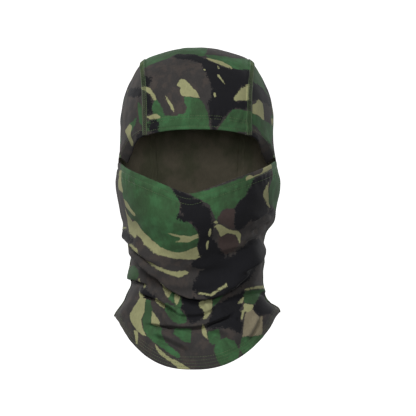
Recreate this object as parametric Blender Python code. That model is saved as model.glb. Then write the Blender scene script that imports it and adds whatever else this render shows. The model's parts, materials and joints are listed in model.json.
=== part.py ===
"""A jersey balaclava with a pull-down mask, as separate panels, hems, elastic tapes, seams and tacks.

The wearer faces -Y, with the left hand at +X and the crown at +Z. The origin is the centre of the head at the
level of the brow. Every piece of cloth follows one closed surface, the hood surface: a rounded dome above the
origin, and level sections below it whose width and depth follow the profiles WIDTHS, FRONTS and BACKS.
Lengths are metres.
"""

import bmesh
import bpy
import numpy as np
from mathutils import Matrix

# The hood surface
HEAD_HALF_WIDTH = 0.0844
CROWN_HEIGHT = 0.0862
BROW_DEPTH = 0.097
BACK_DEPTH = 0.101
ROUNDNESS = 2.3  # exponent of the sections: 2 is an ellipse, and more is squarer

CHEEK_LEVEL = -0.070
CHEEK_HALF_WIDTH = 0.0885
MASK_LEVEL = -0.098
MASK_DEPTH = 0.109
NAPE_LEVEL = -0.135
NECK_BASE_LEVEL = -0.172
NECK_HALF_WIDTH = 0.0725
NAPE_DEPTH = 0.064
THROAT_LEVEL = -0.192
THROAT_DEPTH = 0.068
SHOULDER_LEVEL = -0.209
SHOULDER_HALF_WIDTH = 0.0895
CHEST_LEVEL = -0.2705
CHEST_DEPTH = 0.094
UPPER_BACK_LEVEL = -0.240
UPPER_BACK_DEPTH = 0.086
BOTTOM_ROUNDNESS = 2.55  # of the bottom edge: more makes it run level for longer

# Half the width of the centre panel, from the front to the back hem
STRIP_BROW = 0.0566
STRIP_CROWN = 0.0580
STRIP_BACK = 0.0500
STRIP_NAPE = 0.0440
STRIP_TAIL = 0.0500

# The face opening and the mask
BROW_EDGE_LEVEL = -0.0095
BROW_EDGE_DROOP = 0.0035
CORNER_LEVEL = -0.037
CORNER_Y = -0.025
MASK_DIP = 0.037  # how far the mask's edge sags between its corners
CHIN_FOLD_LEVEL = -0.178
JAW_FOLD_LEVEL = -0.126
SEAM_STRAIGHT_LEVEL = -0.100  # the side seams run straight down from here

# Cloth, hems, tapes and thread
FABRIC = 0.0007
BROW_HEM_DEPTH = 0.018
MASK_HEM_DEPTH = 0.013
MASK_HEM_END_DEPTH = 0.010
FACING_WIDTH = 0.009
FACING_TAIL = 0.009  # the facing's length under the mask's corner
BOTTOM_HEM_DEPTH = 0.015
ELASTIC = 0.0008
ELASTIC_MARGIN = 0.0018  # between the tape's edges and the hem's
SEAM_WIDTH = 0.0065
SEAM_THICKNESS = 0.0008
THREAD = 0.0005
THREAD_WIDTH = 0.0010
ROW_INSET = 0.0024  # from a hem's edge to its thread row
TACK_LENGTH = 0.010
TACK_WIDTH = 0.003
TACK_THICKNESS = 0.001
GAP = 0.0004  # between neighbouring pieces
SWING_GAP = 0.0012  # between the hood and the mask hem that swings past it

# How many points the pieces are cut with
DOME_STEPS = 18
STRIP_COLUMNS = 9
SIDE_COLUMNS = 9
BROW_COLUMNS = 15
OPENING_POINTS = 8
MASK_COLUMNS = 21
MASK_ROWS = 13
BIB_ROWS = 9
TAIL_POINTS = 2
BACK_STEPS = OPENING_POINTS + TAIL_POINTS + MASK_ROWS + BIB_ROWS - 2 - DOME_STEPS  # both rails match
HALF_HEM_COLUMNS = 25

OUTER_LIFT = FABRIC / 2 + GAP  # from the middle of the cloth to the underside of what lies on it
TAPE_OFFSET = OUTER_LIFT + ELASTIC / 2
CHANNEL_FOLD = 2 * TAPE_OFFSET  # between the two plies of a hem that holds a tape
PLAIN_FOLD = FABRIC + GAP  # between the two plies of a hem that holds none
MASK_LIFT = CHANNEL_FOLD + FABRIC + SWING_GAP

WIDTHS = (
    (CHEST_LEVEL, SHOULDER_HALF_WIDTH),
    (SHOULDER_LEVEL, SHOULDER_HALF_WIDTH),
    (NECK_BASE_LEVEL, NECK_HALF_WIDTH),
    (NAPE_LEVEL, NECK_HALF_WIDTH),
    (CHEEK_LEVEL, CHEEK_HALF_WIDTH),
    (0.0, HEAD_HALF_WIDTH),
)
FRONTS = (
    (CHEST_LEVEL, CHEST_DEPTH),
    (THROAT_LEVEL, THROAT_DEPTH),
    (MASK_LEVEL, MASK_DEPTH),
    (0.0, BROW_DEPTH),
)
BACKS = (
    (UPPER_BACK_LEVEL, UPPER_BACK_DEPTH),
    (NAPE_LEVEL, NAPE_DEPTH),
    (0.0, BACK_DEPTH),
)
# Places along the centre panel: -1 opening edge, 0 brow, 1 crown, 2 back of the head, 3 nape, 4 lowest back
STRIP = ((0, STRIP_BROW), (1, STRIP_CROWN), (2, STRIP_BACK), (3, STRIP_NAPE), (4, STRIP_TAIL))
RIBBON_LEAD = (-1.0, -0.4, 0.045)  # the first places of the crown seams, over the brow hem

FINISHES = {
    "camo_cloth": ((0.075, 0.085, 0.055), 0.9),
    "hem_cloth": ((0.060, 0.070, 0.045), 0.9),
    "elastic_tape": ((0.020, 0.022, 0.018), 0.85),
    "sewing_thread": ((0.110, 0.140, 0.060), 0.8),
}


# The hood surface and the places on it


def eased(stations, at):
    """The value at each place, passing smoothly and without overshoot from station to station."""
    places, values = np.array(stations, float).T
    at = np.clip(at, places[0], places[-1])
    i = np.clip(np.searchsorted(places, at) - 1, 0, len(places) - 2)
    t = (at - places[i]) / (places[i + 1] - places[i])
    return values[i] + (values[i + 1] - values[i]) * t * t * (3 - 2 * t)


def depths(y, z):
    return np.where(np.asarray(y) < 0, eased(FRONTS, z), eased(BACKS, z))


def gauge(points):
    """1 on the hood surface, less inside it and more outside."""
    x, y, z = np.moveaxis(points, -1, 0)
    shares = np.abs([x / eased(WIDTHS, z), y / depths(y, z), np.clip(z, 0, None) / CROWN_HEIGHT])
    return np.sum(shares**ROUNDNESS, axis=0) ** (1 / ROUNDNESS)


def to_surface(points):
    """Moves each point onto the hood surface: level below the origin, and along its ray above it."""
    scale = gauge(points)[..., None]
    z = points[..., 2:]
    return np.concatenate([points[..., :2] / scale, np.where(z <= 0, z, z / scale)], -1)


def outward(points):
    """The unit normals of the hood surface."""
    step = 1e-5
    slope = [gauge(points + step * way) - gauge(points - step * way) for way in np.eye(3)]
    normal = np.stack(slope, -1)
    return normal / np.linalg.norm(normal, axis=-1, keepdims=True)


def lifted(points, distance):
    return points + outward(points) * np.broadcast_to(distance, points.shape[:-1])[..., None]


def left_over(share, z):
    """What is left of the third half-axis at this share of the second one and at this height."""
    rise = np.clip(z, 0, None) / CROWN_HEIGHT
    left = 1 - np.abs(share) ** ROUNDNESS - rise**ROUNDNESS
    return np.clip(left, 0, None) ** (1 / ROUNDNESS)


def front_point(x, z):
    share = left_over(x / eased(WIDTHS, z), z)
    return np.stack([x + 0 * z, -eased(FRONTS, z) * share, z + 0 * x], -1)


def left_point(y, z):
    share = left_over(y / depths(y, z), z)
    return np.stack([eased(WIDTHS, z) * share, y + 0 * z, z + 0 * y], -1)


def level_point(turn, z):
    """The point at this height, turned from the front (0) through the wearer's left (a quarter turn)."""
    depth = depths(-np.cos(turn), z)
    return to_surface(np.stack([np.sin(turn) * eased(WIDTHS, z), -np.cos(turn) * depth, z + 0 * turn], -1))


def turn_of(point):
    """The turn at which level_point gives this point."""
    x, y, z = point
    return np.arctan2(x / eased(WIDTHS, z), -y / depths(y, z))


def beside(path, distance):
    """The line on the hood surface beside a path: above it, where the path runs to the wearer's left."""
    across = np.cross(outward(path), np.gradient(path, axis=0))
    across /= np.linalg.norm(across, axis=-1, keepdims=True)
    return to_surface(path + across * np.broadcast_to(distance, len(path))[:, None])


def mirrored(points):
    return points * (-1, 1, 1)


def coons(top, bottom, left, right):
    """The patch between four edges: top and bottom run the same way across, left and right downwards."""
    u = np.linspace(0, 1, len(left))[:, None, None]
    v = np.linspace(0, 1, len(top))[None, :, None]
    corners = (1 - u) * ((1 - v) * top[0] + v * top[-1]) + u * ((1 - v) * bottom[0] + v * bottom[-1])
    return (1 - v) * left[:, None] + v * right[:, None] + (1 - u) * top + u * bottom - corners


# The lines that the pieces are cut to


def strip_line(share, places, shift=0.0):
    """A line along the centre panel: share 1 is its left edge, and shift moves it further to the left."""
    x = share * eased(STRIP, places) + shift
    girth = left_over(x / HEAD_HALF_WIDTH, 0.0)
    dome = girth * CROWN_HEIGHT * np.abs(np.sin(places * np.pi / 2)) ** (2 / ROUNDNESS)
    nape = NAPE_LEVEL * (places - 2)
    tail = NAPE_LEVEL + (UPPER_BACK_LEVEL - NAPE_LEVEL) * (places - 3)
    edge = -places * brow_level(STRIP_BROW)
    z = np.select([places < 0, places < 2, places < 3], [-np.abs(edge), dome, nape], tail)
    share = left_over(x / eased(WIDTHS, z), z)
    return np.stack([x, np.where(places < 1, -eased(FRONTS, z), eased(BACKS, z)) * share, z], -1)


def strip_start(share, level):
    """The place along a line of the centre panel where it is at this height over the brow."""
    girth = left_over(share * STRIP_BROW / HEAD_HALF_WIDTH, 0.0)
    return np.arcsin((level / (girth * CROWN_HEIGHT)) ** (ROUNDNESS / 2)) * 2 / np.pi


def brow_level(x):
    return BROW_EDGE_LEVEL - BROW_EDGE_DROOP * (x / STRIP_BROW) ** 2


def bottom_level(turn):
    """The height of the bottom edge: a long bib in front, a shorter one behind, high over the shoulders."""
    lowest = np.where(np.cos(turn) > 0, CHEST_LEVEL, UPPER_BACK_LEVEL)
    return lowest + (SHOULDER_LEVEL - lowest) * np.abs(np.sin(turn)) ** BOTTOM_ROUNDNESS


def bottom_line(turn, above):
    return level_point(turn, bottom_level(turn) + above)


def half_turn(count):
    """Turns across the front of the object, from the wearer's right side to the left one."""
    return np.linspace(-np.pi / 2, np.pi / 2, count)


def strip_end(share):
    """The place along a line of the centre panel where it meets the back hem."""
    place = np.array(3.9)
    for _ in range(8):
        level = bottom_level(turn_of(strip_line(share, place))) + BOTTOM_HEM_DEPTH + GAP
        place = 3 + (level - NAPE_LEVEL) / (UPPER_BACK_LEVEL - NAPE_LEVEL)
    return place


def strip_places(share, lead):
    """The places along a line of the centre panel, from its first ones in front to the back hem."""
    dome = np.arange(1, DOME_STEPS + 1) * 2 / DOME_STEPS
    back = np.linspace(2, strip_end(share), BACK_STEPS)[1:]
    return np.concatenate([lead, dome, back])


def corner():
    """The left corner of the face opening, on the hinge line of the mask."""
    return left_point(CORNER_Y, CORNER_LEVEL)


def opening_edge():
    """The hood's edge from the brow hem down to the left corner, and its tail under the mask's corner."""
    start = front_point(STRIP_BROW + GAP / 2, brow_level(STRIP_BROW))
    u = np.linspace(0, 1, OPENING_POINTS)
    turn = turn_of(start) + (turn_of(corner()) - turn_of(start)) * u
    edge = level_point(turn, start[2] + (CORNER_LEVEL - start[2]) * u**1.3)
    ahead = edge[-1] - edge[-2]
    steps = np.arange(1, TAIL_POINTS + 1)[:, None] / TAIL_POINTS
    tail = edge[-1] + ahead / np.linalg.norm(ahead) * FACING_TAIL * steps
    return to_surface(np.concatenate([edge, tail]))


def facing_side():
    """The side panel's edge along the facing."""
    return beside(opening_edge(), FACING_WIDTH + GAP)


def side_seam(z):
    """The seam between the front piece and the left side panel, at these heights."""
    top = facing_side()[-1]
    return left_point(eased(((SEAM_STRAIGHT_LEVEL, 0.0), (top[2], top[1])), z), z)


def seam_levels():
    """The heights along the side seam: those beside the mask panel, and those beside the bib."""
    mask = np.linspace(facing_side()[-1, 2], JAW_FOLD_LEVEL, MASK_ROWS)
    return mask, np.linspace(JAW_FOLD_LEVEL, SHOULDER_LEVEL + BOTTOM_HEM_DEPTH + GAP, BIB_ROWS)


def mask_edge():
    """The top edge of the mask, from the right corner to the left one."""
    end = turn_of(corner())
    turn = np.linspace(-end, end, MASK_COLUMNS)
    sag = 1 - np.abs(np.sin(turn) / np.sin(end)) ** 1.3
    return level_point(turn, CORNER_LEVEL - MASK_DIP * sag)


def mask_hem_depth():
    share = np.abs(np.linspace(-1, 1, MASK_COLUMNS))
    return MASK_HEM_DEPTH + (MASK_HEM_END_DEPTH - MASK_HEM_DEPTH) * share**3


def chin_fold(count, above):
    """The line under the chin and jaw where the mask turns into the bib."""
    turn = half_turn(count)
    level = JAW_FOLD_LEVEL + (CHIN_FOLD_LEVEL - JAW_FOLD_LEVEL) * np.abs(np.cos(turn)) ** 1.4
    return level_point(turn, level + above)


# Building


def add_finish(obj, finish):
    colour, roughness = FINISHES[finish]
    material = bpy.data.materials.new(f"{obj.name}_{finish}")
    material.use_nodes = True
    shader = material.node_tree.nodes["Principled BSDF"]
    shader.inputs["Base Color"].default_value = (*colour, 1.0)
    shader.inputs["Roughness"].default_value = roughness
    shader.inputs["Metallic"].default_value = 0.0
    obj.data.materials.append(material)


def add_sheet(name, rows, thickness, finish, closed=False):
    """One piece of cloth: a grid of points through the middle of its thickness, thickened evenly both ways."""
    facing = np.cross(rows[0, 1] - rows[0, 0], rows[1, 0] - rows[0, 0])
    if np.dot(facing, outward(rows[0, 0])) < 0:
        rows = rows[:, ::-1]
    bm = bmesh.new()
    verts = [[bm.verts.new(point) for point in row] for row in rows]
    columns = len(rows[0])
    for upper, lower in zip(verts[:-1], verts[1:]):
        for k in range(columns if closed else columns - 1):
            n = (k + 1) % columns
            bm.faces.new((upper[k], upper[n], lower[n], lower[k]))
    mesh = bpy.data.meshes.new(name)
    bm.to_mesh(mesh)
    bm.free()
    obj = bpy.data.objects.new(name, mesh)
    bpy.context.scene.collection.objects.link(obj)
    shell = obj.modifiers.new("Thickness", "SOLIDIFY")
    shell.thickness = thickness
    shell.offset = 0.0
    shell.use_even_offset = True
    mesh.shade_smooth()
    mesh.set_sharp_from_angle(angle=np.radians(40))
    add_finish(obj, finish)
    return obj


def hem_profile(depth, fold):
    """A turned hem in section: (distance from its edge, depth inside the outer ply), from ply to ply."""
    bend = fold / 2
    return ((depth, 0), (depth / 2, 0), (bend, 0), (0, bend), (bend, fold), (depth / 2, fold), (depth, fold))


def flat_profile(near, far, lift):
    """A flat band in section, this far outside the middle of the outer ply."""
    return ((near, -lift), (far, -lift))


def row_profile(away):
    """A row of stitches in section, as one flat thread that lies on the cloth."""
    lift = OUTER_LIFT + THREAD / 2
    return flat_profile(away - THREAD_WIDTH / 2, away + THREAD_WIDTH / 2, lift)


def tape_profile(depth):
    return flat_profile(ELASTIC_MARGIN, depth - ELASTIC_MARGIN, -TAPE_OFFSET)


def along(line, profile):
    """Sweeps a section along a line: line gives the points at a distance from the edge."""
    return np.array([lifted(line(away), -inside) for away, inside in profile])


def hang(pieces, name, place):
    """Parents the pieces to an empty on their hinge, without moving them."""
    hinge = bpy.data.objects.new(name, None)
    hinge.location = place
    bpy.context.scene.collection.objects.link(hinge)
    for piece in pieces:
        piece.parent = hinge
        piece.matrix_parent_inverse = Matrix.Translation(place).inverted()


def add_pair(name, rows, thickness, finish):
    add_sheet(f"{name}_left", rows, thickness, finish)
    add_sheet(f"{name}_right", mirrored(rows), thickness, finish)


def build_centre_panel():
    lines = []
    for share in np.linspace(-1, 1, STRIP_COLUMNS):
        start = strip_start(share, brow_level(share * STRIP_BROW) + BROW_HEM_DEPTH + GAP)
        lines.append(strip_line(share, strip_places(share, [start]), -share * GAP / 2))
    add_sheet("centre_panel", np.array(lines), FABRIC, "camo_cloth")


def build_side_panels():
    """Each side panel runs between two rails: the crown seam, and the facing with the side seam below it."""
    start = (facing_side()[0, 2] + 2 * GAP) / -brow_level(STRIP_BROW)
    crown = strip_line(1, strip_places(1, [start]), GAP / 2)
    mask, bib = seam_levels()
    seam = side_seam(np.concatenate([mask, bib[1:]])) + (0, GAP / 2, 0)
    front = np.concatenate([facing_side()[:-1], seam])
    across = np.linspace(0, 1, SIDE_COLUMNS)
    rows = crown[:, None] * (1 - across[:, None]) + front[:, None] * across[:, None]
    turn = turn_of(crown[-1]) + (turn_of(front[-1]) - turn_of(crown[-1])) * across
    sag = bottom_line(turn, BOTTOM_HEM_DEPTH + GAP) - rows[-1]
    share = np.clip(np.arange(len(rows)) - len(rows) + BIB_ROWS, 0, None) / (BIB_ROWS - 1)
    rows = to_surface(rows + share[:, None, None] ** 2 * sag)
    add_pair("side_panel", rows, FABRIC, "camo_cloth")


def front_patch(upper, lower, levels):
    """The part of the front piece between two lines, out to the side seams."""
    left = side_seam(levels) - (0, GAP / 2, 0)
    upper[0], upper[-1] = mirrored(left[0]), left[0]
    lower[0], lower[-1] = mirrored(left[-1]), left[-1]
    return to_surface(coons(upper, lower, mirrored(left), left))


def build_mask_panel():
    tail = opening_edge()[-1] + (0, GAP, -2 * GAP)
    top = facing_side()[-1] - (0, 0, 2 * GAP)
    hem_line = beside(mask_edge(), -mask_hem_depth() - GAP)
    upper = np.concatenate([mirrored(np.array([top, tail])), hem_line, [tail, top]])
    levels = seam_levels()[0]
    levels[[0, -1]] += (-2 * GAP, GAP / 2)
    rows = front_patch(upper, chin_fold(len(upper), GAP / 2), levels)
    fade = np.linspace(1, 0, MASK_ROWS)[:, None] ** 2
    ends = np.ones(len(upper))
    ends[[0, 1, -2, -1]] = (0.0, 0.4, 0.4, 0.0)
    add_sheet("mask_panel", lifted(rows, MASK_LIFT * fade * ends), FABRIC, "camo_cloth")


def build_bib():
    upper = chin_fold(HALF_HEM_COLUMNS, -GAP / 2)
    lower = bottom_line(half_turn(HALF_HEM_COLUMNS), BOTTOM_HEM_DEPTH + GAP)
    levels = seam_levels()[1]
    levels[0] -= GAP / 2
    add_sheet("bib", front_patch(upper, lower, levels), FABRIC, "camo_cloth")


def build_brow_hem():
    def line(half_width):
        x = np.linspace(-half_width, half_width, BROW_COLUMNS)
        return lambda height: front_point(x, brow_level(x) + height)

    rows = along(line(STRIP_BROW - GAP / 2), hem_profile(BROW_HEM_DEPTH, CHANNEL_FOLD))
    add_sheet("brow_hem", rows, FABRIC, "hem_cloth")
    rows = along(line(STRIP_BROW - ELASTIC_MARGIN), tape_profile(BROW_HEM_DEPTH))
    add_sheet("brow_elastic", rows, ELASTIC, "elastic_tape")
    for name, height in (("lower", ROW_INSET), ("upper", BROW_HEM_DEPTH - ROW_INSET)):
        rows = along(line(STRIP_BROW - SEAM_WIDTH / 2 - GAP), row_profile(height))
        add_sheet(f"brow_stitching_{name}", rows, THREAD, "sewing_thread")


def build_facings():
    edge = opening_edge()
    rows = along(lambda away: beside(edge, away), hem_profile(FACING_WIDTH, PLAIN_FOLD))
    add_pair("opening_facing", rows, FABRIC, "hem_cloth")
    rows = along(lambda away: beside(edge, away)[1:-3], row_profile(FACING_WIDTH - ROW_INSET))
    add_pair("facing_stitching", rows, THREAD, "sewing_thread")


def build_mask_hem():
    edge = mask_edge()
    depth = mask_hem_depth()

    def add(name, profile, thickness, finish):
        rows = [
            lifted(beside(edge, -share * depth - away), MASK_LIFT - inside) for (share, away), inside in profile
        ]
        pieces.append(add_sheet(name, np.array(rows), thickness, finish))

    pieces = []
    bend = CHANNEL_FOLD / 2
    plies = [((1, 0), 0), ((0.5, 0), 0), ((0, bend), 0), ((0, 0), bend)]
    plies += [(place, CHANNEL_FOLD) for place, _ in plies[2::-1]]
    add("mask_hem", plies, FABRIC, "hem_cloth")
    tape = [((1, -ELASTIC_MARGIN), TAPE_OFFSET), ((0, ELASTIC_MARGIN), TAPE_OFFSET)]
    add("mask_elastic", tape, ELASTIC, "elastic_tape")
    lift = -OUTER_LIFT - THREAD / 2
    half = THREAD_WIDTH / 2
    for name, share, away in (("upper", 0, ROW_INSET), ("lower", 1, -ROW_INSET)):
        row = [((share, away - half), lift), ((share, away + half), lift)]
        add(f"mask_stitching_{name}", row, THREAD, "sewing_thread")
    hang(pieces, "mask_hinge", (0, CORNER_Y, CORNER_LEVEL))


def build_bottom_hems():
    front = half_turn(HALF_HEM_COLUMNS) * (1 - GAP / SHOULDER_HALF_WIDTH / np.pi)
    for name, turn in (("front", front), ("back", front + np.pi)):
        rows = along(lambda above: bottom_line(turn, above), hem_profile(BOTTOM_HEM_DEPTH, PLAIN_FOLD))
        add_sheet(f"bottom_hem_{name}", rows, FABRIC, "hem_cloth")
    around = np.linspace(-np.pi, np.pi, 2 * HALF_HEM_COLUMNS - 1)[:-1]
    for name, above in (("lower", ROW_INSET), ("upper", BOTTOM_HEM_DEPTH - ROW_INSET)):
        rows = along(lambda height: bottom_line(around, height), row_profile(above))
        add_sheet(f"bottom_stitching_{name}", rows, THREAD, "sewing_thread", closed=True)


def build_seams():
    """The flat seams: bands of thread over the joints between the panels."""
    lift = OUTER_LIFT + SEAM_THICKNESS / 2
    half = SEAM_WIDTH / 2
    places = strip_places(1, RIBBON_LEAD)
    rows = along(lambda shift: strip_line(1, places, shift), flat_profile(half, -half, lift))
    add_pair("crown_seam", rows, SEAM_THICKNESS, "sewing_thread")
    mask, bib = seam_levels()
    mask = mask[mask < CORNER_LEVEL - MASK_HEM_DEPTH - SEAM_WIDTH]
    seam = side_seam(np.concatenate([mask, bib[1:]]))
    rows = along(lambda away: beside(seam, away), flat_profile(half, -half, lift + GAP))
    add_pair("side_seam", rows, SEAM_THICKNESS, "sewing_thread")


def build_corner_tacks():
    """Bar tacks over the ends of the mask hem, on the hood just above the hinge line."""
    middle = corner()
    y = middle[1] + np.linspace(-TACK_LENGTH / 2, TACK_LENGTH / 2, 4)
    lift = OUTER_LIFT + TACK_THICKNESS / 2
    rows = along(lambda above: left_point(y, middle[2] + above), flat_profile(GAP, GAP + TACK_WIDTH, lift))
    add_pair("corner_tack", rows, TACK_THICKNESS, "sewing_thread")


def clear_scene():
    for obj in list(bpy.data.objects):
        bpy.data.objects.remove(obj, do_unlink=True)


def main():
    clear_scene()
    build_centre_panel()
    build_side_panels()
    build_mask_panel()
    build_bib()
    build_brow_hem()
    build_facings()
    build_mask_hem()
    build_bottom_hems()
    build_seams()
    build_corner_tacks()


main()
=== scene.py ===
"""A woodland-camouflage balaclava with a pull-down mask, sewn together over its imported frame.

Every piece of cloth is a grid of points on one hood surface, worn with the same folds, so that neighbouring
pieces meet at their seams. Lengths are metres, and the print's shapes are millimetres.
"""

import json
import math

import bmesh
import bpy
import numpy as np
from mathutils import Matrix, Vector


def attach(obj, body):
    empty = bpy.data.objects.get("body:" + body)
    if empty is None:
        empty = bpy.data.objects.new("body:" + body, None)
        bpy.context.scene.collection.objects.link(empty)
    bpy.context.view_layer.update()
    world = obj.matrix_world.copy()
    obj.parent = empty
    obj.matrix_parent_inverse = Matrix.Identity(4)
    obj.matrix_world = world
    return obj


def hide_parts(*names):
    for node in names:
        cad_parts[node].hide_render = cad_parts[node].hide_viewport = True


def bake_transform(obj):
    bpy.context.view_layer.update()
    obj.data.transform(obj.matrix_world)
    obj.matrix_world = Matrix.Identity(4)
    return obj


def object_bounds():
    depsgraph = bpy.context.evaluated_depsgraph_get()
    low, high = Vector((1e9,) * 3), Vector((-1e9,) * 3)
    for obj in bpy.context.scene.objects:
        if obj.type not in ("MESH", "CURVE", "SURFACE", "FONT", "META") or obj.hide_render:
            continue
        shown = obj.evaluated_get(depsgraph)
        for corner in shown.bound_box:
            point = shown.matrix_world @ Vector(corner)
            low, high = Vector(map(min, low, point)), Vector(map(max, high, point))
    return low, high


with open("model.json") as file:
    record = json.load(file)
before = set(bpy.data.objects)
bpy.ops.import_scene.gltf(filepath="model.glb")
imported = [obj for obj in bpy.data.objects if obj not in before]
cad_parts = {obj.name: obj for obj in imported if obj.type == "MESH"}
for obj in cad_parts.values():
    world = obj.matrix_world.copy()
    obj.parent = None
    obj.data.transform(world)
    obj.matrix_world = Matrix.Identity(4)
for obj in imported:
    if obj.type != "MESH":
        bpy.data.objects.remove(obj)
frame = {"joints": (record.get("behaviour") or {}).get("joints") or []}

bl_info = {
    "name": "Camouflage Balaclava",
    "version": (1, 0, 0),
    "blender": (4, 5, 0),
    "location": "3D View > Sidebar > Balaclava",
    "description": "Sews a printed jersey balaclava together, with its hems, flat seams and thread rows",
    "category": "Add Mesh",
}

CAD_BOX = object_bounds()
MM = 0.001

# The hood surface, as the frame is cut
HEAD_HALF_WIDTH = 0.0844
CROWN_HEIGHT = 0.0862
ROUNDNESS = 2.3
CORNER_LEVEL = -0.037
CORNER_Y = -0.025
JAW_FOLD_LEVEL = -0.126
SEAM_STRAIGHT_LEVEL = -0.100
SHOULDER_LEVEL = -0.209
CHEST_LEVEL = -0.2705
UPPER_BACK_LEVEL = -0.240
NAPE_LEVEL = -0.135
BOTTOM_ROUNDNESS = 2.55  # of the bottom edge: more makes it run level for longer
BOTTOM_SKEW = 0.052  # how far, as a turn, its lowest point lies to the wearer's right
WIDTHS = (
    (CHEST_LEVEL, 0.0895),
    (SHOULDER_LEVEL, 0.0895),
    (-0.172, 0.0725),
    (NAPE_LEVEL, 0.0725),
    (-0.070, 0.0885),
    (0.0, HEAD_HALF_WIDTH),
)
FRONTS = ((CHEST_LEVEL, 0.094), (-0.192, 0.068), (-0.098, 0.109), (0.0, 0.097))
BACKS = ((UPPER_BACK_LEVEL, 0.086), (NAPE_LEVEL, 0.064), (0.0, 0.101))
STRIP_BROW = 0.0566
STRIP = ((0, STRIP_BROW), (1, 0.0580), (2, 0.0500), (3, 0.0440), (4, 0.0500))

# Edges, hems and seams
BROW_EDGE_LEVEL = -0.005
BROW_EDGE_DROOP = 0.0065
BROW_HEM_DEPTH = 0.0152
MASK_HEM_DEPTH = 0.0125
MASK_LIFT = 0.0042
MASK_LOWEST = (-0.007, -0.077)  # across and up: the bottom of the mask's V-shaped edge
MASK_SLOPES = (0.50, 0.43)  # of its right and its left side
FACING_WIDTH = 0.009
FACING_CURL = 0.009  # how far the opening's edge curls inwards at the corners
BOTTOM_HEM_DEPTH = 0.0165
HEM_FOLD = 0.0016  # between the middles of a hem's two plies
FABRIC = 0.0007
SEAM_WIDTH = 0.0068
SEAM_HEIGHT = 0.0011
SEAM_PITCH = 0.0021  # of the threads across a flat seam and along its sides
FACING_ROW_INSET = 0.0022  # of the thread row, from the facing's inner edge
TAPE_THICKNESS = 0.0004
DENT_DEPTH, DENT_REACH = 0.00035, 0.0013  # of the furrow that a row of stitches pulls
BROW_PLACE = 0.01  # height of one place of the centre panel below the brow
MASK_CORNER_X = 0.0875  # half the mask's breadth between its corners
MASK_BEND = 0.008  # roundness of the lowest point of its edge
GUESS_TOP, GUESS_LOW = -0.05, -0.25  # heights that the front piece's edges are looked for from


# The print: outlines on the front view, (across, up) in millimetres, painted in this order
CROWN = (
    ("green", ((-58, 75), (-46, 78), (-25, 85), (-7, 87), (12, 87), (10, 78), (5, 75), (-7, 77), (-20, 78),
        (-28, 75), (-39, 70), (-49, 65), (-55, 61), (-60, 58))),
    ("green", ((9, 77), (18, 77), (31, 75), (44, 72), (58, 70), (59, 55), (46, 59), (37, 63), (24, 70),
        (14, 73))),
    ("green", ((-15, 31), (3, 29), (7, 23), (12, 13), (13, 5), (15, -8), (-55, -8), (-55, 3), (-46, 6),
        (-41, 10), (-35, 9), (-25, 10), (-14, 12), (-11, 18), (-14, 25))),
    ("green", ((-49, 22), (-46, 27), (-43, 27), (-39, 20), (-35, 10), (-42, 6), (-47, 12), (-50, 17))),
    ("green", ((39, 17), (47, 17), (61, 13), (63, -8), (21, -8), (26, 0), (31, 6), (35, 12))),
    ("green", ((-65, 23), (-60, 18), (-58, -8), (-65, -8))),
    ("tan", ((-22, 43), (-19, 50), (-14, 50), (-7, 43), (-1, 37), (4, 29), (-7, 31), (-16, 31), (-19, 36),
        (-18, 41))),
    ("tan", ((-62, 40), (-56, 42), (-51, 40), (-46, 33), (-44, 27), (-48, 27), (-51, 33), (-56, 37))),
    ("tan", ((-55, 9), (-49, 11), (-44, 12), (-39, 8), (-44, 6), (-52, 6))),
    ("tan", ((9, 74), (18, 72), (28, 69), (37, 64), (40, 60), (32, 63), (22, 67), (13, 71))),
    ("tan", ((40, 30), (45, 37), (50, 43), (56, 45), (56, 26), (46, 27), (41, 25))),
    ("tan", ((-35, 32), (-33, 31), (-26, 20), (-24, 12), (-28, 17), (-32, 24))),
    ("black", ((-29, 75), (-20, 78), (-7, 78), (4, 75), (13, 71), (17, 61), (10, 62), (3, 68), (-7, 71),
        (-20, 72))),
    ("black", ((6, 72), (14, 70), (24, 66), (31, 62), (39, 61), (45, 60), (58, 58), (58, 45), (50, 42),
        (45, 37), (40, 30), (41, 25), (58, 26), (58, 17), (39, 18), (33, 12), (23, 0), (21, -8), (16, -8),
        (14, 13), (12, 23), (16, 31), (16, 40), (13, 50), (9, 57), (5, 65))),
    ("black", ((-57, 28), (-55, 36), (-50, 31), (-48, 23), (-49, 13), (-54, 12), (-55, 18))),
    ("black", ((-51, 5), (-44, 6), (-42, -1), (-41, -8), (-53, -8), (-53, 1))),
    ("black", ((-60, 54), (-51, 52), (-49, 47), (-53, 42), (-60, 41))),
    ("fleck", ((7, 61), (9, 61), (10, 59), (8, 59))),
    ("fleck", ((22, 55), (24, 55), (26, 52), (31, 44), (30, 44), (23, 52))),
    ("fleck", ((18, 35), (20, 35), (21, 31), (19, 30))),
    ("fleck", ((22, 65), (24, 64), (25, 61), (23, 61))),
)
RIGHT_SIDE = (
    ("black", ((-54, -2), (-60, -5), (-68, -14), (-72, -26), (-74, -40), (-66, -44), (-62, -24), (-54, -10))),
    ("tan", ((-79, -6), (-74, 1), (-71, -1), (-73, -9), (-73, -19), (-77, -23), (-76, -15), (-78, -10))),
    ("green", ((-74, 1), (-69, 5), (-66, 9), (-67, 1), (-70, -4), (-73, -8))),
    ("green", ((-65, 26), (-58, 18), (-58, -2), (-63, 3))),
    ("black", ((-77, 40), (-65, 42), (-58, 38), (-62, 31), (-76, 31))),
)
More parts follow.
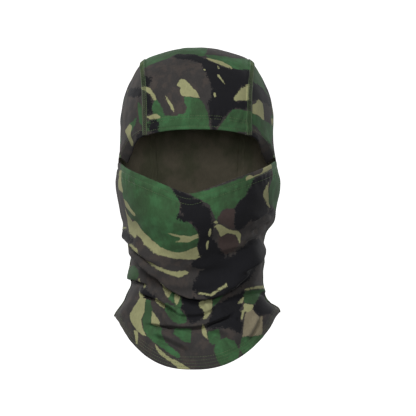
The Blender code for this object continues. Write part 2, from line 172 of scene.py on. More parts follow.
LEFT_SIDE = (
    ("black", ((54, -2), (60, -6), (67, -13), (72, -24), (76, -40), (66, -44), (62, -24), (54, -10))),
    ("green", ((55, 71), (68, 61), (75, 50), (82, 38), (85, 25), (75, 33), (69, 43), (55, 48))),
    ("black", ((55, 48), (70, 43), (77, 34), (84, 25), (84, 21), (78, 22), (73, 26), (68, 28), (55, 25))),
    ("tan", ((55, 20), (65, 24), (66, 30), (72, 24), (74, 15), (74, 5), (68, 10), (55, 15))),
    ("green", ((55, 14), (68, 10), (74, 5), (86, -1), (86, -13), (81, -21), (73, -13), (65, -2), (55, 5))),
)
FRONT = (
    ("fleck", ((13, -114), (15, -113), (15, -121), (13, -124), (12, -119))),
    ("fleck", ((11, -128), (13, -127), (12, -137), (10, -138), (10, -132))),
    ("fleck", ((17, -107), (20, -105), (23, -107), (20, -108))),
    ("green", ((-84, -37), (-77, -47), (-65, -53), (-46, -61), (-29, -68), (-25, -73), (-20, -80),
        (-17, -88), (-18, -94), (-20, -99), (-15, -104), (-7, -107), (-2, -113), (2, -119), (2, -117),
        (2, -127), (0, -135), (-7, -137), (-14, -140), (-20, -141), (-28, -140), (-39, -135), (-49, -127),
        (-58, -117), (-66, -105), (-71, -102), (-76, -89), (-79, -75), (-80, -60))),
    ("green", ((-9, -76), (9, -74), (31, -66), (53, -57), (60, -60), (55, -70), (51, -79), (44, -85),
        (39, -92), (26, -94), (21, -106), (17, -98), (13, -89), (5, -84), (-4, -81))),
    ("green", ((80, -45), (83, -33), (93, -47), (96, -62), (95, -83), (85, -94), (79, -89), (75, -85),
        (74, -78), (77, -65), (80, -56))),
    ("tan", ((-73, -108), (-66, -105), (-58, -117), (-49, -127), (-39, -135), (-28, -140), (-20, -141),
        (-14, -140), (-7, -137), (0, -134), (2, -142), (6, -145), (-2, -149), (-20, -148), (-34, -145),
        (-44, -140), (-53, -132), (-60, -123), (-67, -117))),
    ("tan", ((-77, -90), (-74, -98), (-69, -106), (-65, -116), (-62, -125), (-70, -118), (-74, -108))),
    ("tan", ((-78, -80), (-72, -88), (-64, -99), (-66, -100), (-72, -94), (-76, -90))),
    ("tan", ((-83, -51), (-81, -49), (-80, -62), (-78, -75), (-82, -73), (-84, -71))),
    ("tan", ((-31, -117), (-25, -119), (-18, -121), (-7, -122), (3, -119), (2, -124), (-4, -126),
        (-9, -129), (-23, -129), (-23, -128), (-18, -126), (-18, -124), (-25, -121), (-31, -118))),
    ("tan", ((-81, -114), (-77, -111), (-73, -113), (-79, -115))),
    ("tan", ((-68, -130), (-65, -129), (-58, -136), (-57, -141), (-60, -139), (-66, -134))),
    ("tan", ((-73, -131), (-71, -132), (-69, -139), (-65, -144), (-55, -152), (-42, -164), (-30, -176),
        (-27, -182), (-31, -193), (-35, -187), (-38, -179), (-36, -177), (-42, -168), (-55, -157),
        (-66, -148), (-71, -140))),
    ("tan", ((-58, -139), (-48, -148), (-39, -154), (-30, -159), (-22, -161), (-11, -161), (-9, -164),
        (-18, -167), (-28, -164), (-38, -158), (-50, -151))),
    ("tan", ((17, -113), (22, -108), (28, -111), (36, -116), (44, -116), (48, -121), (46, -131),
        (44, -125), (41, -120), (31, -119), (26, -124), (23, -117), (20, -112))),
    ("fleck", ((1, -184), (14, -185), (21, -180), (30, -172), (31, -174), (22, -182), (15, -187),
        (1, -186))),
    ("tan", ((50, -60), (54, -56), (58, -58), (68, -53), (69, -49), (79, -43), (80, -48), (73, -52),
        (67, -55), (56, -60), (51, -63))),
    ("tan", ((76, -60), (74, -70), (76, -83), (77, -91), (74, -88), (70, -81), (69, -75), (72, -67))),
    ("black", ((-26, -71), (-14, -75), (-4, -81), (5, -85), (7, -90), (12, -92), (16, -102), (17, -111),
        (17, -118), (17, -113), (16, -125), (21, -130), (26, -139), (32, -146), (24, -156), (13, -160),
        (3, -160), (-7, -155), (-5, -149), (5, -146), (2, -142), (1, -135), (2, -127), (3, -117),
        (1, -118), (-2, -112), (-6, -106), (-14, -106), (-20, -103), (-21, -100), (-15, -99), (-18, -94),
        (-17, -90), (-19, -84), (-22, -79))),
    ("black", ((59, -60), (69, -55), (79, -52), (77, -62), (71, -70), (69, -78), (75, -89), (73, -98),
        (68, -102), (56, -106), (47, -117), (41, -115), (39, -106), (40, -94), (44, -85), (51, -79),
        (55, -70))),
    ("black", ((75, -93), (81, -91), (82, -98), (78, -101))),
    # This black patch is print, and partly painted shade: it covers the whole of the dark area below the
    # chin, the shade there included.
    ("black", ((14, -152), (24, -150), (32, -147), (42, -142), (50, -132), (58, -126), (67, -124), (69, -138),
        (68, -152), (64, -164), (56, -173), (44, -181), (30, -187), (14, -188), (2, -186), (-6, -180),
        (-3, -170), (6, -160))),
    ("brown", ((31, -92), (40, -94), (39, -106), (41, -115), (31, -111), (24, -107), (22, -102))),
    ("brown", ((24, -123), (31, -120), (41, -121), (45, -130), (41, -139), (32, -144), (26, -140),
        (23, -131))),
    ("green", ((-77, -162), (-69, -156), (-65, -160), (-62, -168), (-66, -172), (-77, -169))),
    ("tan", ((-63, -170), (-61, -170), (-56, -181), (-58, -182))),
    ("tan", ((-65, -187), (-61, -183), (-60, -192), (-57, -193), (-58, -207), (-62, -216), (-60, -227),
        (-56, -234), (-62, -232), (-69, -225), (-74, -215), (-75, -209), (-69, -200), (-64, -193))),
    ("green", ((-57, -193), (-52, -195), (-49, -205), (-50, -216), (-48, -221), (-39, -224), (-38, -233),
        (-35, -241), (-20, -252), (-17, -259), (-23, -257), (-33, -251), (-46, -242), (-55, -234),
        (-60, -227), (-61, -216), (-58, -207))),
    ("tan", ((-50, -205), (-46, -211), (-40, -220), (-41, -222), (-49, -221))),
    ("tan", ((-49, -193), (-43, -191), (-37, -198), (-36, -204), (-41, -201), (-46, -197))),
    ("green", ((-37, -198), (-29, -200), (-20, -205), (-12, -211), (-11, -221), (-25, -221), (-30, -214),
        (-35, -207))),
    ("green", ((-27, -181), (-20, -187), (-15, -202), (-18, -205), (-25, -200), (-32, -192), (-29, -186))),
    ("tan", ((-25, -187), (-20, -187), (-19, -192), (-22, -201), (-25, -197))),
    ("green", ((-26, -224), (-15, -224), (-6, -224), (-7, -243), (-15, -241), (-25, -233))),
    ("tan", ((1, -197), (9, -194), (17, -192), (16, -207), (12, -215), (7, -217), (6, -213), (8, -209),
        (5, -205), (2, -202))),
    ("tan", ((6, -221), (9, -222), (11, -232), (13, -239), (8, -234), (5, -230))),
    ("green", ((11, -231), (14, -228), (24, -228), (27, -235), (23, -242), (17, -244), (13, -239))),
    ("green", ((17, -195), (26, -188), (32, -186), (23, -197), (17, -203))),
    ("green", ((51, -184), (75, -183), (69, -192), (63, -200), (51, -197))),
    ("tan", ((51, -182), (61, -180), (75, -179), (75, -183), (61, -183), (51, -184))),
    ("tan", ((42, -199), (52, -190), (51, -198))),
    ("tan", ((51, -198), (63, -200), (61, -205), (56, -208), (53, -206), (50, -217), (48, -215),
        (49, -210), (47, -207), (52, -205))),
    ("khaki", ((54, -208), (61, -204), (68, -213), (72, -211), (73, -232), (64, -234), (50, -235),
        (52, -220))),
    ("green", ((49, -235), (75, -233), (73, -241), (64, -248), (53, -256), (47, -249))),
    ("green", ((21, -241), (31, -235), (41, -241), (47, -249), (46, -257), (39, -270), (26, -266),
        (18, -251))),
    ("tan", ((-71, -226), (-66, -229), (-66, -243), (-68, -242))),
    ("tan", ((-47, -242), (-42, -247), (-33, -256), (-20, -262), (-6, -271), (-18, -272), (-28, -263),
        (-39, -256), (-45, -249))),
    ("black", ((-15, -188), (-2, -187), (3, -195), (2, -200), (7, -206), (6, -215), (-2, -220),
        (-10, -220), (-11, -211), (-18, -205))),
    ("black", ((17, -202), (31, -194), (44, -188), (52, -183), (51, -190), (44, -198), (51, -198),
        (47, -207), (50, -207), (47, -215), (51, -220), (49, -232), (39, -228), (26, -227), (12, -227),
        (10, -222), (16, -214))),
    ("black", ((63, -200), (74, -184), (79, -187), (77, -193), (87, -202), (82, -211), (73, -211),
        (68, -213), (62, -205))),
    ("black", ((-80, -113), (-74, -114), (-63, -126), (-65, -129), (-75, -121), (-82, -118))),
    ("black", ((-62, -183), (-58, -181), (-43, -190), (-49, -193), (-60, -192))),
)

LAYERS = ("green", "khaki", "brown", "tan", "black", "fleck")
REACH = 9.0  # millimetres: how far from an outline its distance is still worked out

# Worn folds of the front piece: the line of the crest from the wearer's right to the left, then
# (height, reach above, reach below, hollow below, droop), all in millimetres
FOLDS = (
    (((-84, -128), (-74, -133), (-58, -147), (-42, -165), (-27, -182), (-8, -191), (12, -192), (30, -185),
        (48, -169), (60, -150), (70, -136), (80, -130)), (9.0, 14, 3.0, 6.0, 7.5)),
    (((-84, -114), (-76, -120), (-62, -131), (-48, -143), (-32, -153)), (4.6, 5.0, 2.2, 3.6, 3.6)),
    (((-82, -124), (-70, -134), (-54, -147), (-40, -160)), (2.6, 4, 2.2, 2.4, 1.5)),
    (((-62, -217), (-48, -221), (-30, -224), (-8, -225), (12, -222), (30, -214), (44, -204)),
        (5.6, 6.5, 2.2, 4.4, 4.2)),
    (((-80, -168), (-72, -171), (-62, -172), (-50, -178)), (3.8, 5.5, 2.2, 3.2, 2.6)),
    (((-66, -184), (-56, -188), (-42, -193), (-28, -202), (-14, -214)), (5.6, 6.0, 2.4, 4.2, 3.0)),
    (((-46, -180), (-36, -192), (-30, -204)), (3.0, 4, 2.6, 2.4, 0.6)),
    (((34, -162), (48, -152), (60, -142), (74, -134)), (3.6, 4.5, 2.6, 2.6, 1.6)),
    (((22, -174), (40, -165), (54, -152)), (2.8, 4, 2.6, 1.8, 1.0)),
    (((10, -182), (28, -176), (44, -164)), (1.8, 4, 2.6, 1.4, 0.6)),
    (((-52, -230), (-36, -234), (-20, -242), (-4, -249)), (4.6, 6.0, 3.0, 3.4, 1.8)),
    (((8, -226), (24, -227), (36, -234), (46, -246)), (4.4, 5.5, 3.0, 3.2, 1.6)),
    (((46, -186), (58, -184), (70, -184), (80, -187)), (2.6, 4.5, 2.2, 2.4, 2.0)),
    (((54, -238), (62, -224), (68, -210)), (3.0, 4.5, 2.8, 2.0, 0.0)),
    (((-24, -206), (-10, -211), (8, -209), (22, -200)), (3.6, 5.0, 2.6, 2.8, 1.8)),
    (((-40, -206), (-34, -216), (-24, -224)), (2.8, 4, 2.6, 2.2, 0.6)),
    (((8, -196), (14, -206), (12, -216)), (2.6, 3.5, 2.6, 2.0, 0.0)),
    (((30, -196), (40, -206), (44, -218)), (2.8, 4, 2.6, 2.2, 0.0)),
    (((58, -106), (68, -100), (76, -94), (82, -88)), (2.0, 4, 2.4, 1.6, 1.0)),
    (((56, -116), (68, -109), (78, -101)), (2.0, 4, 2.4, 1.6, 1.0)),
    (((46, -128), (60, -122), (74, -114)), (1.8, 4.5, 2.6, 1.3, 0.8)),
    (((20, -140), (38, -136), (56, -128)), (1.4, 5, 3, 1.0, 0.6)),
    (((-30, -166), (-12, -172), (10, -173), (26, -168)), (1.8, 6, 3.4, 1.2, 0.8)),
    (((-76, -86), (-60, -100), (-40, -112), (-16, -120)), (1.2, 14, 10, 0.6, 0.0)),
    (((-20, -150), (-2, -156), (20, -156), (38, -148)), (1.4, 8, 5, 0.8, 0.0)),
)
# Soft swellings: turn in degrees, height, rise, then the spread in degrees and upwards
SWELLS = (
    (-88, -0.117, 0.0065, 34, 0.010),
    (-88, -0.100, 0.0020, 34, 0.009),
    (88, -0.104, 0.0050, 34, 0.013),
    (90, -0.066, 0.0022, 30, 0.020),
    (-90, -0.164, 0.0040, 30, 0.008),
    (90, -0.150, 0.0015, 30, 0.010),
    (86, -0.192, -0.0058, 24, 0.0080),
    (-86, -0.194, -0.0030, 24, 0.0070),
    (-88, -0.209, 0.0015, 20, 0.005),
    (88, -0.207, 0.0025, 20, 0.005),
    (0, -0.100, 0.0020, 30, 0.020),
)


# The hood surface


def eased(stations, at):
    """The value at each place, passing smoothly and without overshoot from station to station."""
    places, values = np.array(stations, float).T
    at = np.clip(at, places[0], places[-1])
    i = np.clip(np.searchsorted(places, at) - 1, 0, len(places) - 2)
    t = (at - places[i]) / (places[i + 1] - places[i])
    return values[i] + (values[i + 1] - values[i]) * t * t * (3 - 2 * t)


def smooth(value, low, high):
    t = np.clip((value - low) / (high - low), 0, 1)
    return t * t * (3 - 2 * t)


def bell(value, middle, spread):
    """1 at the middle, and falling off smoothly on both sides of it."""
    return np.exp(-(((value - middle) / spread) ** 2))


def wave(value, pitch, shift=0.0):
    return np.sin(value * 2 * np.pi / pitch + shift)


def depths(y, z):
    return np.where(np.asarray(y) < 0, eased(FRONTS, z), eased(BACKS, z))


def gauge(points):
    """1 on the hood surface, less inside it and more outside."""
    x, y, z = np.moveaxis(points, -1, 0)
    shares = np.abs([x / eased(WIDTHS, z), y / depths(y, z), np.clip(z, 0, None) / CROWN_HEIGHT])
    return np.sum(shares**ROUNDNESS, axis=0) ** (1 / ROUNDNESS)


def to_surface(points):
    """Moves each point onto the hood surface: level below the origin, and along its ray above it."""
    scale = gauge(points)[..., None]
    z = points[..., 2:]
    return np.concatenate([points[..., :2] / scale, np.where(z <= 0, z, z / scale)], -1)


def outward(points):
    """The unit normals of the hood surface."""
    step = 1e-5
    slope = [gauge(points + step * way) - gauge(points - step * way) for way in np.eye(3)]
    normal = np.stack(slope, -1)
    return normal / np.linalg.norm(normal, axis=-1, keepdims=True)


def left_over(share, z):
    """What is left of the third half-axis at this share of the second one and at this height."""
    rise = np.clip(z, 0, None) / CROWN_HEIGHT
    left = 1 - np.abs(share) ** ROUNDNESS - rise**ROUNDNESS
    return np.clip(left, 0, None) ** (1 / ROUNDNESS)


def front_point(x, z):
    share = left_over(x / eased(WIDTHS, z), z)
    return np.stack([x + 0 * z, -eased(FRONTS, z) * share, z + 0 * x], -1)


def left_point(y, z):
    share = left_over(y / depths(y, z), z)
    return np.stack([eased(WIDTHS, z) * share, y + 0 * z, z + 0 * y], -1)


def ring_point(turn, z):
    """The point at this height, turned from the front (0) through the wearer's left (a quarter turn)."""
    across, ahead = np.sin(turn), np.cos(turn)
    reach = left_over(0, z) / (np.abs(across) ** ROUNDNESS + np.abs(ahead) ** ROUNDNESS) ** (1 / ROUNDNESS)
    depth = np.where(ahead > 0, eased(FRONTS, z), eased(BACKS, z))
    return np.stack([across * eased(WIDTHS, z) * reach, -ahead * depth * reach, z + 0 * turn], -1)


def turn_of(points):
    x, y, z = np.moveaxis(np.asarray(points), -1, 0)
    return np.arctan2(x / eased(WIDTHS, z), -y / depths(y, z))


class Girths:
    """Lengths round the level sections, from the middle of the front, and the turns that they reach."""

    levels = np.linspace(CHEST_LEVEL - 0.02, CROWN_HEIGHT * 0.995, 90)
    turns = np.linspace(0, np.pi, 121)
    shares = np.linspace(0, 1, 121)

    def __init__(self):
        rings = ring_point(self.turns[None], self.levels[:, None])
        steps = np.linalg.norm(np.diff(rings, axis=1), axis=2)
        self.lengths = np.concatenate([np.zeros((len(self.levels), 1)), np.cumsum(steps, axis=1)], axis=1)
        self.halves = self.lengths[:, -1]
        self.at_share = np.array(
            [np.interp(self.shares, row / row[-1], self.turns) for row in self.lengths]
        )

    def look_up(self, table, z, along):
        """Reads a table of rows by height and columns by a share from 0 to 1."""
        row = np.clip((z - self.levels[0]) / (self.levels[1] - self.levels[0]), 0, len(self.levels) - 1.001)
        column = np.clip(along, 0, 1) * (table.shape[1] - 1.001)
        i, j = row.astype(int), column.astype(int)
        u, v = row - i, column - j
        upper = table[i, j] * (1 - v) + table[i, j + 1] * v
        lower = table[i + 1, j] * (1 - v) + table[i + 1, j + 1] * v
        return upper * (1 - u) + lower * u

    def of(self, points):
        turn = turn_of(points)
        z = points[..., 2] + 0 * turn
        return np.sign(turn) * self.look_up(self.lengths, z, np.abs(turn) / np.pi)

    def half(self, z):
        return np.interp(z, self.levels, self.halves)

    def turn(self, length, z):
        """The turn reached at this length round the section at this height."""
        return np.sign(length) * self.look_up(self.at_share, z, np.abs(length) / self.half(z))


GIRTHS = Girths()
MID_TURNS = np.linspace(0, np.pi, 181)
MID_SINE, MID_COSINE = np.sin(MID_TURNS), np.cos(MID_TURNS)
MID_SCALE = (np.abs(MID_SINE) ** ROUNDNESS + np.abs(MID_COSINE) ** ROUNDNESS) ** (-1 / ROUNDNESS)
MID_LINE = np.stack([
    -MID_COSINE * MID_SCALE * np.where(MID_TURNS < np.pi / 2, FRONTS[-1][1], BACKS[-1][1]),
    MID_SINE * MID_SCALE * CROWN_HEIGHT,
], -1)
MID_RUNS = np.concatenate([[0], np.cumsum(np.linalg.norm(np.diff(MID_LINE, axis=0), axis=1))])


# Charts: flat coordinates of the cloth, for the print and the knit


def front_chart(points):
    return np.stack([GIRTHS.of(points), points[..., 2]], -1)


def crown_chart(points):
    """Across, and the run from the brow over the crown and down the back."""
    x, y, z = np.moveaxis(points, -1, 0)
    turn = np.arctan2(np.clip(z, 0, None) / CROWN_HEIGHT, -y / depths(y, 0 * z))
    run = np.interp(turn, MID_TURNS, MID_RUNS) + np.where(y < 0, np.clip(z, None, 0), -np.clip(z, None, 0))
    return np.stack([x, run], -1)


def side_chart(points):
    """Along the section, forwards from the side of the head, and up."""
    z = points[..., 2]
    quarter = GIRTHS.look_up(GIRTHS.lengths, z, 0.5 + 0 * z)
    return np.stack([quarter - np.abs(GIRTHS.of(points)), z], -1)


CHARTS = {"front": front_chart, "crown": crown_chart, "side": side_chart}


def seen_on(chart, outline):
    """An outline on the front view, in millimetres, as points of a chart. Past the silhouette it runs on."""
    x, z = np.array(outline, float).T * MM
    z_low = np.clip(z, None, CROWN_HEIGHT * 0.99)
    half = eased(WIDTHS, z_low) * left_over(0, z_low)
    x_in = np.clip(x, -half * 0.995, half * 0.995)
    flat = CHARTS[chart](front_point(x_in, z_low))
    over = np.abs(x - x_in)
    if chart == "front":
        flat[:, 0] += np.sign(x) * over
    elif chart == "side":
        flat[:, 0] -= over
    else:
        flat[:, 0] += x - x_in
        flat[:, 1] += z - z_low
    return flat


# The print


def rounded(outline):
    """An outline with its corners cut, twice over."""
    points = np.asarray(outline, float)
    for _ in range(2):
        after = np.roll(points, -1, axis=0)
        points = np.stack([points * 0.8 + after * 0.2, points * 0.2 + after * 0.8], 1).reshape(-1, 2)
    return points


def inside_by(points, outline):
    """How far each point is inside an outline, in millimetres, and negative outside it."""
    found = np.full(len(points), -REACH)
    margin = REACH * MM
    near = ((points > outline.min(0) - margin) & (points < outline.max(0) + margin)).all(1)
    p = points[near]
    if not len(p):
        return found
    nearest = np.full(len(p), np.inf)
    crossings = np.zeros(len(p), int)
    for a, b in zip(outline, np.roll(outline, -1, axis=0)):
        d = b - a
        away = p - a
        t = np.clip(away @ d / max(d @ d, 1e-12), 0, 1)
        nearest = np.minimum(nearest, ((away - t[:, None] * d) ** 2).sum(1))
        if a[1] != b[1]:
            spans = (a[1] > p[:, 1]) != (b[1] > p[:, 1])
            crossings += spans & (away[:, 0] < d[0] * away[:, 1] / d[1])
    distance = np.sqrt(nearest) / MM * np.where(crossings % 2, 1, -1)
    found[near] = np.clip(distance, -REACH, REACH)
    return found


def brush_stroke(rng, centre, length, breadth):
    """One stroke of the print: a bent, tapered outline with an uneven edge."""
    t = np.linspace(0, 1, 9)
    bend = rng.uniform(-0.5, 0.5)
    lean = rng.normal(0, 0.5)
    spine = np.stack([(t - 0.5) * length, bend * length * (t - 0.5) ** 2 * 2], -1)
    wide = breadth * np.sin(np.pi * np.clip(t, 0.04, 0.96)) ** 0.6 * rng.uniform(0.45, 1.0, (2, 9))
    upper = spine + np.stack([0 * t, wide[0] / 2], -1)
    lower = spine - np.stack([0 * t, wide[1] / 2], -1)
    outline = np.concatenate([upper, lower[::-1]])
    c, s = np.cos(lean), np.sin(lean)
    return centre + outline @ np.array([[c, s], [-s, c]])


def strokes(seed, low, high):
    """Strokes that fill a part of a chart evenly, as (colour, outline)."""
    rng = np.random.default_rng(seed)
    low, high = np.array(low), np.array(high)
    found = []
    for colour, cell, length, breadth in (
        ("green", 0.056, 0.100, 0.044),
        ("brown", 0.080, 0.070, 0.026),
        ("tan", 0.050, 0.056, 0.014),
        ("black", 0.062, 0.080, 0.032),
    ):
        counts = np.maximum(np.round((high - low) / cell).astype(int), 1)
        for i in range(counts[0]):
            for j in range(counts[1]):
                centre = low + (np.array([i, j]) + rng.uniform(0.1, 0.9, 2)) / counts * (high - low)
                size = rng.uniform(0.7, 1.3)
                found.append((colour, brush_stroke(rng, centre, length * size, breadth * size)))
    return found


def print_on(mesh, flat, placed, random, placed_share):
    """Writes how far each point is inside each layer of the print. placed_share is 1 where only the placed
    shapes show, and 0 where only the random ones do."""
    edge = (placed_share - 0.5) * 60
    for layer in LAYERS:
        depth = np.full(len(flat), -REACH)
        for shapes, limit in ((placed, edge), (random, -edge)):
            for colour, outline in shapes:
                if colour == layer:
                    depth = np.maximum(depth, np.minimum(inside_by(flat, rounded(outline)), limit))
        attribute = mesh.attributes.new(layer, "FLOAT", "POINT")
        attribute.data.foreach_set("value", depth.astype(np.float32))


# How the cloth is worn


def ripple(points, size, seed):
    """A smooth random field between about -1 and 1, with features of this size."""
    rng = np.random.default_rng(seed)
    ways = rng.normal(size=(20, 3))
    ways *= (rng.uniform(0.6, 1.5, 20) * 2 * np.pi / size / np.linalg.norm(ways, axis=1))[:, None]
    waves = np.sin(points @ ways.T + rng.uniform(0, 2 * np.pi, 20))
    return waves.sum(-1) / 5


class Fold:
    """One crease of the worn cloth: a crest along a line, which hangs over the hollow below it."""

    def __init__(self, line, sizes):
        path = seen_on("front", line)
        for _ in range(2):
            inner = np.stack([path[:-1] * 0.75 + path[1:] * 0.25, path[:-1] * 0.25 + path[1:] * 0.75], 1)
            path = np.concatenate([path[:1], inner.reshape(-1, 2), path[-1:]])
        self.path = path
        self.height, self.above, self.below, self.hollow, self.droop = np.array(sizes) * MM
        steps = np.linalg.norm(np.diff(path, axis=0), axis=1)
        self.runs = np.concatenate([[0], np.cumsum(steps)])
        self.path[:, 1] += self.droop * self.taper(self.runs / self.runs[-1])

    def taper(self, share):
        return smooth(share, 0, 0.22) * smooth(1 - share, 0, 0.22)

    def shift(self, flat):
        """How far the cloth moves out and down at these points of the front chart."""
        out, down = np.zeros(len(flat)), np.zeros(len(flat))
        margin = 3 * max(self.above, self.below)
        near = ((flat > self.path.min(0) - margin) & (flat < self.path.max(0) + margin)).all(1)
        p = flat[near]
        best = np.full(len(p), np.inf)
        side, run = np.zeros(len(p)), np.zeros(len(p))
        for a, b, start, end in zip(self.path, self.path[1:], self.runs, self.runs[1:]):
            d, away = b - a, p - a
            t = np.clip(away @ d / (d @ d), 0, 1)
            distance = np.linalg.norm(away - t[:, None] * d, axis=1)
            closer = distance < best
            best = np.where(closer, distance, best)
            side = np.where(closer, np.sign(d[0] * away[:, 1] - d[1] * away[:, 0]), side)
            run = np.where(closer, start + t * (end - start), run)
        share = run / self.runs[-1]
        taper = self.taper(share)
        crest = bell(best, 0, np.where(side > 0, self.above, self.below))
        below = np.where(side < 0, best, 0)
        # the hollow lies two reaches down, and starts from nothing at the crest
        dip = bell(below, 2 * self.below, 1.2 * self.below)
        floor = math.exp(-((2 / 1.2) ** 2))
        hollow = np.where(side < 0, dip - floor * bell(below, 0, self.below), 0)
        out[near] = taper * (self.height * crest - self.hollow * hollow)
        reach = np.where(side > 0, 0.7 * self.above, self.below)
        down[near] = taper * self.droop * bell(best, 0, reach)
        return out, down


WORN_FOLDS = [Fold(line, sizes) for line, sizes in FOLDS]


def charted(chart, outline):
    """An outline of the print as points of a chart: where its cloth lies before the folds pull it down."""
    points = np.array(outline, float)
    points = np.stack([points, (points + np.roll(points, -1, axis=0)) / 2], 1).reshape(-1, 2)
    flat = seen_on(chart, points)
    if chart != "front":
        return flat
    seen = flat[:, 1].copy()
    for _ in range(6):
        flat[:, 1] = (flat[:, 1] + seen + sum(fold.shift(flat)[1] for fold in WORN_FOLDS)) / 2
    return flat


def brow_edge(x):
    return BROW_EDGE_LEVEL - BROW_EDGE_DROOP * (np.abs(x) / STRIP_BROW) ** 2.6


def worn(points, lift=0.0):
    """Where points of the hood surface end up on the wearer, this far outside the middle of the cloth."""
    shape = points.shape
    p = points.reshape(-1, 3)
    normal = outward(p)
    flat = front_chart(p)
    turn = np.degrees(turn_of(p))
    z = p[:, 2]
    out = 0.0006 * ripple(p, 0.060, 3) * smooth(-z, -0.09, 0.02) + 0.0002 * ripple(p, 0.018, 4)
    down = np.zeros(len(p))
    front = p[:, 1] < 0.02
    for fold in WORN_FOLDS:
        moved = fold.shift(flat[front])
        out[front] += moved[0]
        down[front] += moved[1]
    for at, level, rise, spread, tall in SWELLS:
        out += rise * bell(turn, at, spread) * bell(z, level, tall)
    # the skirt hangs a little lower at the wearer's right
    down += 0.0045 * bell(turn, -90, 32) * smooth(-z, 0.190, 0.208)
    # the seams lift the crown into two soft ridges
    out += 0.0009 * smooth(z, -0.03, 0.01)
    ridge = bell(np.abs(p[:, 0]), 0.056, 0.012)
    out += 0.0033 * ridge * smooth(z, 0.030, 0.070) * smooth(-p[:, 1], -0.09, 0.02)
    # soft rolls over the nape, and flutes down the skirt behind
    behind = smooth(p[:, 1], -0.01, 0.05)
    roll = wave(z + 0.010 * np.sin(flat[:, 0] * 18), 0.026)
    out += behind * 0.0016 * roll * bell(z, -0.140, 0.030)
    flute = np.sin(np.radians(turn) * 7 + 1.3)
    out += behind * 0.0022 * flute * smooth(-z, 0.165, 0.230)
    # gathers along the elastic brow hem
    brow_height = z - brow_edge(np.clip(p[:, 0], -STRIP_BROW, STRIP_BROW))
    gather = wave(p[:, 0], 0.0072, 2.2 * ripple(p, 0.020, 8))
    hemline = bell(brow_height, BROW_HEM_DEPTH, 0.006)
    in_front = (p[:, 1] < -0.03) * smooth(STRIP_BROW + 0.006 - np.abs(p[:, 0]), 0, 0.012)
    out += 0.00070 * gather * hemline * in_front
    creases = ripple(p * (0.25, 0.25, 1.6), 0.012, 11)
    in_hem = bell(brow_height, 0.6 * BROW_HEM_DEPTH, 0.007)
    out += 0.00065 * creases * in_hem * in_front
    # short wrinkles, most of all where the mask bends round the jaw and the neck bunches up
    slanted = np.stack([flat[:, 0] * 0.55 - z, flat[:, 0] + z * 0.7, 0 * z], -1)
    wrinkles = ripple(slanted * (1.0, 0.25, 1.0), 0.013, 17)
    bunched = bell(z, -0.150, 0.045) + 0.5 * bell(z, -0.225, 0.030)
    out += 0.00042 * wrinkles * bunched
    # gathers along the inner thread row of the mask hem
    mask_edge_drop = mask_level(turn_of(p)) - z
    near_hem = bell(mask_edge_drop, MASK_ROWS[1], 0.005) * (p[:, 1] < 0)
    out += 0.00038 * wave(flat[:, 0], 0.0082, 2.0 * ripple(p, 0.022, 9)) * near_hem
    total = out + np.broadcast_to(lift, shape[:-1]).reshape(-1)
    moved = p + normal * total[:, None] - np.array([0, 0, 1.0]) * down[:, None]
    return moved.reshape(shape)


# Lines that the pieces are cut to


def beside(path, distance):
    """The line on the hood surface beside a path: above it, where the path runs to the wearer's left."""
    across = np.cross(outward(path), np.gradient(path, axis=0))
    across /= np.linalg.norm(across, axis=-1, keepdims=True)
    return to_surface(path + across * np.broadcast_to(distance, len(path))[:, None])


def on_side(side, points):
    """Points of the left side, or their mirror image for the right side."""
    return points * (-1, 1, 1) if side == "right" else points


def bottom_level(turn):
    """The height of the bottom edge: a long bib in front, a shorter one behind, high over the shoulders."""
    lowest = np.where(np.cos(turn) > 0, CHEST_LEVEL, UPPER_BACK_LEVEL)
    side = np.abs(np.sin(turn + BOTTOM_SKEW * np.cos(turn))) ** BOTTOM_ROUNDNESS
    return lowest + (SHOULDER_LEVEL - lowest) * side


def bottom_line(turn, above):
    return ring_point(turn, bottom_level(turn) + above)


def strip_line(share, places, shift=0.0):
    """A line along the centre panel: share 1 is its left edge, and shift moves it further to the left.
    Places: 0 is the brow, 1 the crown, 2 the back of the head, 3 the nape and 4 the lowest back."""
    x = share * eased(STRIP, places) + shift
    girth = left_over(x / HEAD_HALF_WIDTH, 0.0)
    dome = girth * CROWN_HEIGHT * np.abs(np.sin(places * np.pi / 2)) ** (2 / ROUNDNESS)
    nape = NAPE_LEVEL * (places - 2)
    tail = NAPE_LEVEL + (UPPER_BACK_LEVEL - NAPE_LEVEL) * (places - 3)
    z = np.select([places < 0, places < 2, places < 3], [places * BROW_PLACE, dome, nape], tail)
    share = left_over(x / eased(WIDTHS, z), z)
    return np.stack([x, np.where(places < 1, -eased(FRONTS, z), eased(BACKS, z)) * share, z], -1)


def strip_end(share, above=0.0):
    """The place along a line of the centre panel where it meets the bottom edge behind."""
    place = np.array(3.9)
    for _ in range(8):
        level = bottom_level(turn_of(strip_line(share, place))) + above
        place = 3 + (level - NAPE_LEVEL) / (UPPER_BACK_LEVEL - NAPE_LEVEL)
    return place


def strip_places(share, start, dome_steps, back_steps):
    """The places along a line of the centre panel, from its start below the brow to the bottom edge."""
    lead = np.linspace(start, 0, 8)[:-1]
    dome = np.linspace(0, 2, dome_steps)
    back = np.linspace(2, strip_end(share), back_steps)[1:]
    return np.concatenate([lead, dome, back])


def opening_edge(count=36, tail=10):
    """The hood's edge from the brow hem down to the left corner, and its tail under the mask's corner."""
    start = front_point(STRIP_BROW, brow_edge(STRIP_BROW))
    corner = left_point(CORNER_Y, CORNER_LEVEL)
    u = np.linspace(0, 1, count)
    turn = turn_of(start) + (turn_of(corner) - turn_of(start)) * u
    edge = ring_point(turn, start[2] + (CORNER_LEVEL - start[2]) * u**1.3)
    ahead = (edge[-1] - edge[-2]) / np.linalg.norm(edge[-1] - edge[-2])
    steps = np.linspace(0, FACING_WIDTH, tail + 1)[1:, None]
    return to_surface(np.concatenate([edge, edge[-1] + ahead * steps]))


def facing_end():
    return beside(opening_edge(), FACING_WIDTH)[-1]


